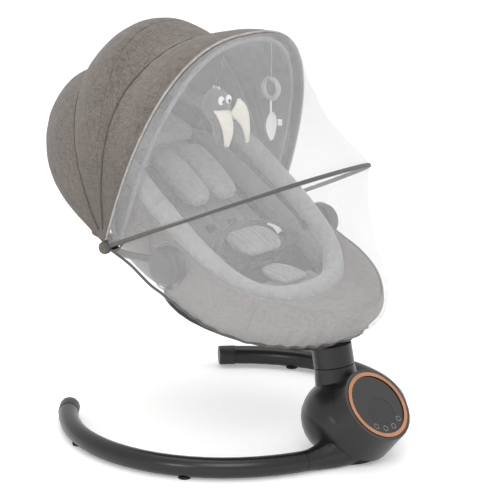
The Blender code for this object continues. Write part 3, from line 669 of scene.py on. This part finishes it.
def pads():
    """Seat, back, head, shoulder, crotch and waist cushions, and the waist sash."""
    seat = cushion(
        "seat_cushion", PLUSH, "swing",
        ((-0.168, 0.2620), (-0.160, 0.2575), (-0.146, 0.2535), (-0.130, 0.2520), (-0.112, 0.2535),
         (-0.092, 0.2570)), (0.052, 0.072, 0.084, 0.092, 0.098, 0.104),
        (0.014, 0.026, 0.030, 0.032, 0.030, 0.018), (), channels(0.052, 0.0030, 0.0035), "seat_pad")
    back = cushion(
        "back_cushion", PLUSH, "backrest",
        ((-0.043, 0.270), (-0.020, 0.286), (0.040, 0.322), (0.120, 0.372), (0.190, 0.420),
         (0.226, 0.449)), (0.122, 0.124, 0.122, 0.116, 0.100, 0.072),
        (0.018, 0.032, 0.032, 0.032, 0.030, 0.018), (), channels(0.062, 0.0032, 0.0035), "back_pad")
    head = cushion(
        "head_cushion", PAD, "backrest",
        ((0.152, 0.4255), (0.166, 0.4365), (0.200, 0.4610), (0.219, 0.4755)),
        (0.064, 0.078, 0.074, 0.054), (0.008, 0.013, 0.013, 0.008), node="head_pad")
    shoulders = [cushion(
        f"shoulder_cushion_{name}", PAD, "backrest",
        ((0.036, 0.3800), (0.050, 0.3910), (0.088, 0.4180), (0.124, 0.4420), (0.138, 0.4500)),
        (0.018, 0.028, 0.0305, 0.027, 0.016), (0.014, 0.026, 0.030, 0.026, 0.014),
        node=f"shoulder_pad_{name}", shift=side * 0.0325) for side, name in SIDES]
    crotch = cushion(
        "crotch_cushion", PAD, "swing",
        ((-0.150, 0.2765), (-0.134, 0.2795), (-0.102, 0.2840), (-0.086, 0.2885)),
        (0.026, 0.034, 0.030, 0.020), (0.008, 0.013, 0.013, 0.008),
        sewn=channels(0.011, 0.0018, 0.0022), node="crotch_pad")
    waist = cushion(
        "waist_cushion", PAD, "swing",
        ((-0.082, 0.3130), (-0.072, 0.3170), (-0.052, 0.3260), (-0.032, 0.3350), (-0.022, 0.3380)),
        (0.034, 0.046, 0.052, 0.046, 0.030), (0.008, 0.017, 0.021, 0.017, 0.008),
        sewn=lambda p: channels(0.0130, 0.0030, 0.0026)(p) * ease(0.318, 0.326, p.z),
        count=40, steps=30)
    sash = sweep("waist_sash", path([(-0.088, -0.046, 0.322), (-0.050, -0.022, 0.333),
                                     (0, -0.012, 0.340), (0.050, -0.022, 0.335),
                                     (0.088, -0.046, 0.328)], 50),
                 0.0075 * ends(50, 6), 0.0150 * ends(50, 6), PLUSH_DARK_AND_SHADE, (0, -0.6, 0.8), 16)
    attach(sash, "swing")
    pillow = cushion(
        "head_hood_cushion", PLUSH_LIGHT, "backrest",
        ((0.158, 0.4560), (0.172, 0.4660), (0.205, 0.4880), (0.228, 0.5030)),
        (0.072, 0.086, 0.080, 0.056), (0.010, 0.022, 0.024, 0.012), (0.005, 0.005),
        channels(0.050, 0.0026, 0.0030))


def bolsters():
    """The stuffed roll round the tub's mouth, painted shade under it as a dark roll, and the side
    cushions.
    """
    points = path(mouth(0.0, 10.6, out=-0.009, up=0.0030), 180)
    full = np.array([0.0184 - 0.005 * ease(0.14, 0.24, p.y) for p in points])
    lumps = np.array([1 + 0.05 * noise.noise(p * 26) for p in points])
    roll = sweep("side_bolster", points, full * lumps * ends(180, 6), full * lumps * ends(180, 6),
                 PLUSH_LIGHT, (0, -0.35, 1.0), 20)
    puff(roll, 0.005, 0.005, 3.0)
    recline(roll)
    # painted shade: a dark plush roll inside and below the bolster roll stands in for the shade under
    # it
    low = [Vector((p.x - 0.016 * np.sign(p.x) * min(abs(p.x) / 0.04, 1), p.y + 0.010, p.z - 0.018))
           for p in points[16:-16]]
    shade_band = sweep("bolster_shade_band", low, 0.0085, 0.0130, PLUSH_DARK_AND_SHADE, (0, -0.35, 1.0), 14)
    recline(shade_band)
    for side, name in SIDES:
        line = [Vector((side * x, y, z)) for x, y, z in (
            (0.098, -0.128, 0.272), (0.112, -0.080, 0.296), (0.116, -0.020, 0.332),
            (0.116, 0.050, 0.378), (0.106, 0.120, 0.424), (0.086, 0.180, 0.462))]
        points = path(line, 60)
        taper = ends(60, 8)
        wing = sweep(f"side_cushion_{name}", points, 0.015 * taper, 0.021 * taper, PLUSH,
                     (side * -0.5, -0.35, 1.0), 18)
        puff(wing, 0.005, 0.005, 3.0)
        recline(wing)


def strap(name, points, width, slot, material, body, thickness=0.0016, across=(1, 0, 0)):
    """A flat strap along points, its width across them."""
    line = path(points, 40)
    rows = [[p + Vector(across) * x for x in np.linspace(-width / 2, width / 2, 5)] for p in line]
    return place(grid(name, rows, material, thickness=thickness, offset=0), slot, body)


def harness():
    """The shoulder and waist webbing, the waist sliders and a blank tag on the sash."""
    belt_lean = (0, 0.93, 0.36)
    for side, name in SIDES:
        x = side * 0.027
        low = strap(f"shoulder_web_{name}", (
            (x, -0.014, 0.3120), (x, -0.004, 0.3190), (x, 0.012, 0.3300), (x, 0.024, 0.3440)),
            0.020, "harness_webbing", WEBBING, "backrest")
        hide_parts(f"shoulder_strap_{name}")
        belt = strap(f"waist_web_{name}", (
            (side * 0.0262, -0.064, 0.3060), (side * 0.0600, -0.062, 0.3080),
            (side * 0.0960, -0.060, 0.3170), (side * 0.1230, -0.058, 0.3350)),
            0.020, "harness_webbing", WEBBING, "swing", across=belt_lean)
        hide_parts(f"waist_strap_{name}")
        strap(f"strap_slider_{name}", (
            (side * 0.062, -0.062, 0.3105), (side * 0.070, -0.062, 0.3115),
            (side * 0.078, -0.062, 0.3130)),
            0.026, "charcoal_plastic", CHARCOAL, "swing", 0.0034, belt_lean)
    tag = strap("blank_tag", (
        (0.058, -0.034, 0.3420), (0.062, -0.044, 0.3370), (0.065, -0.053, 0.3270)),
        0.022, "plush_fabric", WHITE_LABEL, "swing", 0.0006, (0.9, 0.4, 0))


def skirt_strip(k):
    """One strip of the flap, k as on the tub's skin."""
    at = (0, 1, 2, 3, 4, 4.9, 5.25, 5.5, 5.8)
    low = Vector([smooth(k, at, line) for line in (
        (0, 0.040, 0.092, 0.143, 0.181, 0.194, 0.1975, 0.1990, 0.1995),
        (-0.259, -0.251, -0.226, -0.186, -0.140, -0.098, -0.078, -0.062, -0.045),
        (0.2005, 0.2005, 0.2005, 0.2095, 0.2290, 0.2515, 0.2620, 0.2700, 0.2765))])
    top = skin(k, 1)
    out = Vector((top.x, top.y + 0.10, 0)).normalized()
    start = top + out * 0.0016 + Vector((0, 0, 0.002))
    under = ease(5.2, 5.5, k)                         # below the hub it runs outside the arm
    start = start * (1 - under) + Vector((0.1980, low.y, 0.2832)) * under
    middle = start * 0.52 + low * 0.48 + out * 0.0120 * (1 - under)
    return path((start, middle, low), 16)


def skirt():
    """The cover's lower flap, from the tub's side down over the seat tube."""
    half = [skirt_strip(k) for k in np.linspace(0, 5.8, 54)]
    rows = [[mirrored(p) for p in row] for row in half[::-1]] + half[1:]
    for i, row in enumerate(rows):
        for j, point in enumerate(row):
            point += Vector((point.x, point.y + 0.1, 0)).normalized() * (
                0.0010 * (j / 15) ** 2 * sin(i * 0.9 + 2 * sin(i * 0.17)))
    flap = grid("cover_skirt", [list(line) for line in zip(*rows)], LINEN_COVER, thickness=0.0016,
                offset=1)
    recline(flap)
    edge = tube("skirt_binding", [row[-1] for row in rows], 0.0022, BINDING, 8)
    recline(edge)


# ---------------------------------------------------------------- hood
HOOD_KNOTS = (70, 76, 84, 90, 96, 104, 110, 116, 121, 126, 131, 137, 143, 150, 157, 165, 173, 181,
              190)
HOOD_NARROW = 0.8                        # the hood's skin leans this much less to the sides
HOOD_REACH = (0.362, 0.352, 0.333, 0.320, 0.328, 0.352, 0.355, 0.349, 0.339, 0.321, 0.331, 0.341,
              0.341, 0.3305, 0.306, 0.268, 0.237, 0.212, 0.190)


def hood_point(angle, t, inward=0.0):
    reach = smooth(angle, HOOD_KNOTS, HOOD_REACH) - inward
    width = 0.2160 - 0.006 * ease(80, 150, angle) - 0.056 * ease(150, 184, angle) - inward
    return arch_point(angle, width, reach, 2.6 - 0.5 * ease(72, 110, angle), t)


def near_zero(x):
    return float(np.exp(-x * x))


def seam_angle(t):
    """The forward sewn seam: nearly upright at the sides, leaning forward at the crown."""
    return 98.0 - 12.0 * sin(t) ** 3


def hood_panel(name, first, last, start, node):
    """One gore of the hood, soft between its seams, with its lining inside."""
    rows = []
    for angle in np.linspace(first, last, max(int((last - first) * 1.5), 24)):
        row = []
        for t in arc(start, 121):
            point = hood_point(angle, t)
            out = outward(point, HOOD_NARROW)
            inside = min((angle - first) / 2.2, (last - angle) / 2.2, 1) * sin(t) ** 0.5
            soft = noise.noise(point * 9) * 0.0030 + noise.noise(point * 31) * 0.0010
            pull = 0.0
            for seam in (seam_angle(t), REAR_SEAM, FRONT_BOW):
                off = angle - seam
                pull += 0.0007 * near_zero(off / 4.0) * sin(61 * t + 2 * sin(7 * t))
                pull -= 0.0022 * near_zero(off / 0.9) * (seam != FRONT_BOW)
            row.append(point + out * (soft * max(inside, 0) + pull * sin(t) - 0.0010))
        rows.append(row)
    piece = grid(name, rows, LINEN, LINING, thickness=0.0024)
    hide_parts(node)
    return piece


def seam_line(angle_at, start):
    """A stitched line over the hood, where its angle depends on the place along the arch."""
    line = []
    for t in arc(start, 150):
        point = hood_point(angle_at(t), t)
        line.append(point + outward(point, HOOD_NARROW) * (0.0004 - 0.0020 * sin(t)))
    return line


def hood_line(angle, start, out=0.0, inward=0.0):
    """A line over the hood at one angle."""
    points = [hood_point(angle, t, inward) for t in arc(start, 120)]
    return [p + outward(p, HOOD_NARROW) * out for p in points]


def hood():
    """The three gores with their piping, seams and bindings, the bow sleeves and the pin caps."""
    front = hood_panel("hood_front", FRONT_BOW, MID_GORE, 1.0, "canopy_front_panel")
    middle = hood_panel("hood_middle", MID_GORE, REAR_GORE, 1.0, "canopy_mid_panel")
    rear = hood_panel("hood_rear", REAR_GORE, HOOD_END, 2.0, "canopy_rear_panel")
    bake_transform(front)
    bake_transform(middle)
    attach(rear, "backrest")
    for name, line, radius, look, body in (
            ("hood_front_piping", hood_line(FRONT_BOW + 0.3, 1.0, out=0.0004), 0.0020, PIPING_PALE,
             "canopy_front"),
            ("hood_back_binding", hood_line(HOOD_END - 0.4, 2.0, out=-0.0008), 0.0030, BINDING,
             "backrest")):
        place(tube(name, line, radius, look, 10), "hood_fabric", body)
    for name, angle, half, reach, square, body in (
            ("front", FRONT_BOW, 0.1798, 0.350, 2.6, "canopy_front"),
            ("mid", MID_BOW, 0.1890, 0.336, 2.2, "canopy_mid")):
        line = [arch_point(angle, half, reach, square, t)
                for t in np.linspace(0.01, pi - 0.01, 150)]
        sleeve = place(tube(f"bow_sleeve_{name}", line, 0.0042, LINING, 12), "hood_fabric", body)
        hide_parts(f"canopy_bow_{name}")
    for side, label in SIDES:
        cap = closed(f"hood_pin_cap_{label}", [
            [Vector((side * x, PIVOT_Y + r * cos(a), PIVOT_Z + r * sin(a)))
             for a in circle(20)]
            for x, r in ((0.2060, 0.0085), (0.2100, 0.0105), (0.2150, 0.0108), (0.2190, 0.0098),
                         (0.2212, 0.0070), (0.2220, 0.0030))], SEAM)
        place(cap, "hood_fabric", "backrest")
    first_seam = tube("hood_first_seam", seam_line(seam_angle, 4.0), 0.0011, SEAM, 8)
    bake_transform(first_seam)
    rear_seam = tube("hood_second_seam", seam_line(lambda t: REAR_SEAM, 5.0), 0.0011, SEAM, 8)
    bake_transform(rear_seam)
    facing = grid("hood_front_facing",
                  [hood_line(FRONT_BOW + 0.6, 3.5, inward=0.0034),
                   hood_line(FRONT_BOW + 3.2, 3.5, inward=0.0034),
                   hood_line(FRONT_BOW + 5.4, 3.5, inward=0.0032)], BINDING, thickness=0.0008)
    place(facing, "hood_fabric", "canopy_front")
    for side, label in SIDES:
        # the gores' side edges, bound and turned down to the bow pivots
        for first, last, body_a, body_b, key in (
                (FRONT_BOW, MID_GORE, "canopy_mid", "canopy_front", "front"),
                (MID_GORE, REAR_GORE, "backrest", "canopy_mid", "middle")):
            t = radians(1.0) if side < 0 else pi - radians(1.0)
            line = [hood_point(a, t) for a in np.linspace(first, last, 30)]
            piece = tube(f"hood_edge_{key}_{label}", line, 0.0016, BINDING, 8)
            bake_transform(piece)


# ---------------------------------------------------------------- net
def net_point(angle, t):
    """A point of the net above its bow, which sags between the bow and the hood."""
    reach = smooth(angle, (17, 24, 33, 45, 57, 66, 70),
                   (0.356, 0.356, 0.330, 0.313, 0.330, 0.352, 0.362))
    near_hood = ease(60, 70, angle)
    return arch_point(angle, NET_WIDTH + 0.004 * near_hood, reach, 2.3 + 0.3 * near_hood, t)


def bow_point(t, lower=0.0):
    """A point of the net's bow, or just below it."""
    return arch_point(NET_BOW - lower, NET_WIDTH, NET_REACH, 2.1, t)


# half of the net's hem, from its corner under the bow pivot to the front
HEM = ((0.2095, 0.072, 0.3290), (0.2110, 0.028, 0.3140), (0.2120, -0.020, 0.2890),
       (0.2100, -0.060, 0.2725), (0.2050, -0.098, 0.2540), (0.1890, -0.136, 0.2335),
       (0.1600, -0.172, 0.2160), (0.1200, -0.206, 0.2040), (0.0760, -0.236, 0.1985),
       (0.0340, -0.252, 0.1975), (0.0, -0.256, 0.1970))
HUB_Y, HUB_Z = -0.036, 0.319             # the recline hub, which the net hangs over


def net_front_lines(rows=54, columns=221):
    """Rows of the hanging net: from its bow, out over the hubs and the tub, in to the hem."""
    half = [Vector((-x, y, z)) for x, y, z in HEM]
    hem = path(half + [mirrored(p) for p in half[-2::-1]], columns)
    top = [bow_point(t, 0.4) for t in arc(6, columns * 4)]
    lengths = np.cumsum([0] + [(b - a).length for a, b in zip(top, top[1:])])
    lines = [[] for _ in range(rows)]
    for j, low in enumerate(hem):
        share = j / (columns - 1)
        high = top[int(np.searchsorted(lengths, lengths[-1] * share * 0.99999))]
        polar = [(np.hypot(p.y - PIVOT_Y, p.z - PIVOT_Z),
                  np.degrees(np.arctan2(p.z - PIVOT_Z, PIVOT_Y - p.y))) for p in (high, low)]
        centred = sin(pi * share)
        for i, u in enumerate(np.linspace(0, 1, rows)):
            reach = polar[0][0] + (polar[1][0] - polar[0][0]) * u
            angle = polar[0][1] + (polar[1][1] - polar[0][1]) * u
            fall = smooth(u, (0, 0.12, 0.28, 0.50, 0.67, 0.78, 0.88, 1.0),
                          (0, -0.018, -0.028, -0.018, 0.006, 0.0215, 0.0240, 0.0))
            reach += fall * centred ** 1.3
            x = high.x + (low.x - high.x) * u
            x += np.sign(share - 0.5) * 0.009 * sin(pi * u) * (1 - centred ** 2) ** 0.5 * centred
            point = Vector((x, PIVOT_Y - reach * cos(radians(angle)),
                            PIVOT_Z + reach * sin(radians(angle))))
            gap = np.hypot(point.y - HUB_Y, point.z - HUB_Z)
            clear = 0.2102 - 0.004 * ease(0.034, 0.050, gap)
            if gap < 0.052 and abs(point.x) < clear:
                point.x += (np.sign(point.x) * clear - point.x) * (1 - ease(0.036, 0.052, gap))
            gather = (0.0022 * ease(0.2, 0.8, centred) * u ** 4
                      * sin(190 * share + 2.0 * sin(31 * share)))
            lines[i].append(point + outward(point) * gather)
    return lines


def net():
    """The mosquito net from the hood's front edge over its bow to the gathered hem."""
    lines = []
    top, low = FRONT_BOW - 0.4, NET_BOW + 0.4
    for angle in np.linspace(top, low, 44):
        row = []
        for t in arc(1.0, 141):
            point = net_point(angle, t)
            loose = sin(pi * (angle - low) / (top - low))
            row.append(point + outward(point) * (0.0009 * loose * sin(11 * t + 1.4 * sin(3 * t))))
        lines.append(row)
    upper = grid("net_over", lines, NET_WHITE)
    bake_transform(upper)
    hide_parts("net_upper")
    lines = net_front_lines()
    lower = grid("net_front", lines, NET_WHITE)
    place(lower, "net", "net_bow")
    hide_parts("net_lower")
    hem = tube("net_hem", lines[-1], 0.0024, BINDING, 8)
    sides = [tube(f"net_side_{label}", [row[index] for row in lines], 0.0017, BINDING, 8)
             for index, label in ((0, "right"), (-1, "left"))]
    sleeve = tube("net_bow_sleeve", [bow_point(t) for t in np.linspace(0.02, pi - 0.02, 140)],
                  0.0036, BINDING)
    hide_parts("net_bow")
    for piece in [hem, sleeve] + sides:
        place(piece, "net", "net_bow")


# ---------------------------------------------------------------- toys
def ball(name, centre, size, sides, rings, margin, material):
    """A flattened ball with its poles towards -Y."""
    return closed(name, [[
        Vector((centre[0] + size[0] * sin(v) * cos(a), centre[1] - size[1] * cos(v),
                centre[2] + size[2] * sin(v) * sin(a))) for a in circle(sides)]
        for v in np.linspace(margin, pi - margin, rings)], material)


def fin(side):
    """One of the plush toy's pale flaps, along its spine."""
    rows = []
    for i, u in enumerate(np.linspace(0.02, 0.98, 15)):
        spine = Vector((-0.078 + 0.012 * u if side < 0 else -0.054 + 0.038 * u ** 0.75,
                        -0.052 - 0.008 * sin(pi * u),
                        0.560 - 0.064 * u ** (1.1 if side < 0 else 1.6)))
        half = (0.0170 * (1 - u) ** 0.6 + 0.0020) * (1.0 if i % 2 else 0.90)
        across = (0.98, -0.05, -0.12) if side < 0 else (0.55, -0.15, 0.80)
        rows.append([spine + Vector(across) * half * a + Vector((0, -0.0035 * (1 - a * a), 0))
                     for a in np.linspace(-1, 1, 7)])
    return grid(f"toy_fin_{side + 1}", rows, CREAM, thickness=0.0026, offset=0)


def plush_toy():
    body = closed("toy_body", [[Vector((-TOY_X - 0.012 * ease(0.525, 0.560, z) + r * cos(a),
                                        TOY_Y + r * sin(a) * 0.86, z)) for a in circle(24)]
                               for z, r in ((0.4972, 0.006), (0.499, 0.012), (0.506, 0.0150),
                                            (0.518, 0.0145), (0.530, 0.0170), (0.544, 0.0215),
                                            (0.558, 0.0245), (0.572, 0.0245), (0.583, 0.0195),
                                            (0.591, 0.0115), (0.594, 0.0040))], CREATURE)
    puff(body, 0.004, 0.003, 3.0)
    press(body, lambda p: groove(p.z - 0.545, 0.0020, 0.0030)
          + groove(p.x + TOY_X, 0.0030, 0.0035) * (p.z < 0.530))
    parts = [body]
    for side in (-1, 1):
        parts += [ball(f"toy_eye_{side + 1}", (-0.073 + side * 0.0085, -0.0560, 0.576),
                       (0.0066, 0.0036, 0.0076), 16, 9, 0.12, EYE),
                  ball(f"toy_pupil_{side + 1}", (-0.073 + side * 0.0072, -0.0594, 0.574),
                       (0.0026, 0.0014, 0.0030), 12, 7, 0.15, EYE_DARK),
                  fin(side)]
    crest = [[Vector((-0.072, TOY_Y + y, 0.591 + (0.0055 if i % 2 else 0.0) * k))
              for k in (0, 1)] for i, y in enumerate(np.linspace(-0.008, 0.008, 7))]
    parts.append(grid("toy_crest", crest, CREAM, thickness=0.0022, offset=0))
    for piece in parts:
        place(piece, "toy_plush", "toy_plush")
    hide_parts("toy_plush")


def leaf_point(u, across, y):
    """A point of the leaf, u from 0 at its stalk to 1, across from -1 to 1 at its edges."""
    return Vector((TOY_X + 0.0150 * sin(pi * u ** 0.85) ** 0.75 * across, y, 0.5330 - 0.050 * u))


def leaf_toy():
    rows = [[leaf_point(u, a, TOY_Y + 0.0030 * sin(pi * u) - 0.0030 * a * a)
             for a in np.linspace(-1, 1, 9)] for u in np.linspace(0.02, 0.98, 17)]
    leaf = grid("leaf_blade", rows, LEAF, thickness=0.0034, offset=0)
    finer = leaf.modifiers.new("finer", "SUBSURF")
    finer.levels = finer.render_levels = 1
    apply_modifiers(leaf)
    place(leaf, "toy_plush", "toy_leaf")
    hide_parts("toy_leaf")
    blank = strap("leaf_tag", (
        (0.074, -0.036, 0.5120), (0.080, -0.0362, 0.5115), (0.087, -0.037, 0.5100)),
        0.011, "toy_plush", WHITE_LABEL, "toy_leaf", 0.0006, (0, 0, 1))
    down = np.linspace(0.02, 0.98, 24)
    rim = tube("leaf_rim", [leaf_point(u, 1, -0.0372) for u in down]
               + [leaf_point(u, -1, -0.0372) for u in down[::-1]], 0.0009, CREATURE, 6)
    place(rim, "toy_plush", "toy_leaf")
    strap("leaf_loop", (
        (TOY_X, TOY_Y, 0.5320), (TOY_X, -0.0362, 0.5450), (TOY_X, TOY_Y, 0.5580)),
        0.0040, "toy_plush", WHITE_LABEL, "toy_leaf", 0.0009)
    vein = tube("leaf_vein", [Vector((TOY_X, -0.0400, z)) for z in np.linspace(0.528, 0.490, 8)],
                0.0006, THREAD, 6)
    place(vein, "toy_plush", "toy_leaf")


def toys():
    """The plush toy, both ribbons and the leaf; the ring itself is the CAD's."""
    plush_toy()
    for x, low, body in ((-TOY_X, 0.5930, "toy_plush"), (TOY_X, 0.5925, "toy_ring")):
        strap(f"{body}_ribbon", (
            (x - 0.008 * (x < 0), TOY_Y, low), (x, -0.0365, (low + 0.6485) / 2),
            (x, TOY_Y, 0.6480)), 0.0036, "harness_webbing", WEBBING, body, 0.0010)
    leaf_toy()


# ---------------------------------------------------------------- panel details
def ring_on_panel(name, x, up, radius, thick, out, material, count=40):
    """A flattened ring lying on the panel's face."""
    centre = on_panel(out, x, up)
    normal = (on_panel(out + 1, x, up) - centre).normalized()
    bm = bmesh.new()
    verts = []
    for a in circle(count):
        point = on_panel(out, x + radius * cos(a), up + radius * sin(a))
        spoke = (point - centre).normalized()
        verts.append([bm.verts.new(point + spoke * (thick * cos(b)) + normal * (thick * 0.5 * sin(b)))
                      for b in circle(8)])
    for i in range(count):
        a, b = verts[i], verts[(i + 1) % count]
        for j in range(8):
            bm.faces.new((a[j], a[(j + 1) % 8], b[(j + 1) % 8], b[j]))
    bmesh.ops.recalc_face_normals(bm, faces=bm.faces)
    place(link(name, made(bm, name), material), "display", "base")


def panel_keys():
    """Plain ring marks for the touch keys, round the display's lower side."""
    face, reach = -0.0006, 0.0425            # the glass, and the keys' distance from its middle
    for i, angle in enumerate((-131, -106, -80, -52)):
        ring_on_panel(f"key_ring_{i + 1}", reach * cos(radians(angle)), reach * sin(radians(angle)),
                      0.0043, 0.00035, face + 0.0003, ICON, 28)
    ring_on_panel("display_bezel", 0, -0.014, 0.0272, 0.0005, face + 0.0002, HUB, 72)


def hub_covers():
    """Round caps over the recline hubs, with a raised rim."""
    for side, name in SIDES:
        low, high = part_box(f"recline_button_{name}")
        centre = (low + high) / 2
        x = high.x if side > 0 else low.x
        profile = ((0.0012, 0.0020), (0.0016, 0.0150), (0.0010, 0.0230), (0.0002, 0.0262),
                   (-0.0006, 0.0268))
        rings = [[Vector((x + side * (out - 0.0001), centre.y + r * cos(a), centre.z + r * sin(a)))
                  for a in circle(48)] for out, r in profile]
        place(closed(f"hub_cap_{name}", rings, HUB), "charcoal_plastic", f"recline_button_{name}")


# ---------------------------------------------------------------- camera, floor and light
def stage():
    """A pale floor, a white world and four soft lamps."""
    SCENE.view_settings.view_transform = "Standard"
    bm = bmesh.new()
    bmesh.ops.create_grid(bm, x_segments=2, y_segments=2, size=6.0)
    floor_look = Shader("floor_look", Roughness=0.75, Specular_IOR_Level=0.2,
                        Emission_Color=(1, 1, 1, 1), Emission_Strength=0.22)
    cloud = floor_look.noise(1.2, 2.0)
    floor_look.colour(floor_look.blend(cloud, (0.90, 0.90, 0.90, 1), (0.93, 0.93, 0.93, 1)))
    link("floor", made(bm, "floor"), floor_look.material)
    world = bpy.data.worlds.new("studio")
    world.use_nodes = True
    world.node_tree.nodes["Background"].inputs["Color"].default_value = (1, 1, 1, 1)
    world.node_tree.nodes["Background"].inputs["Strength"].default_value = 0.95
    SCENE.world = world
    for name, place, aim, size, power_w in (
            ("key", (-1.6, -1.5, 2.3), (0, 0, 0.35), 1.5, 26),
            ("side", (-2.3, -0.5, 0.9), (0, -0.2, 0.1), 0.5, 7),
            ("fill", (1.9, -1.4, 1.5), (0, 0, 0.35), 1.8, 8),
            ("top", (0.2, 0.4, 2.6), (0, 0, 0.3), 1.8, 16)):
        light = bpy.data.lights.new(name, "AREA")
        light.energy, light.shape, light.size = power_w, "DISK", size
        lamp = bpy.data.objects.new(name, light)
        lamp.location = place
        lamp.rotation_euler = (Vector(aim) - Vector(place)).to_track_quat("-Z", "Y").to_euler()
        SCENE.collection.objects.link(lamp)


def camera():
    """Three-quarter view from the front left, slightly above, with a long lens."""
    data = bpy.data.cameras.new("camera")
    data.lens, data.sensor_width = 156.2, 36.0
    eye = bpy.data.objects.new("camera", data)
    azimuth, pitch, far = radians(-47.5), radians(15.817), 3.6569
    right = Vector((cos(azimuth), sin(azimuth), 0))
    back = Vector((sin(azimuth) * cos(pitch), -cos(azimuth) * cos(pitch), sin(pitch)))
    target = right * 0.0324 + Vector((0, 0, 0.2990))
    eye.location = target + back * far
    eye.rotation_euler = back.to_track_quat("Z", "Y").to_euler()
    SCENE.collection.objects.link(eye)
    SCENE.camera = eye


dress_frame()
camera()
stage()
tub()
skirt()
pads()
bolsters()
harness()
hood()
net()
toys()
panel_keys()
hub_covers()
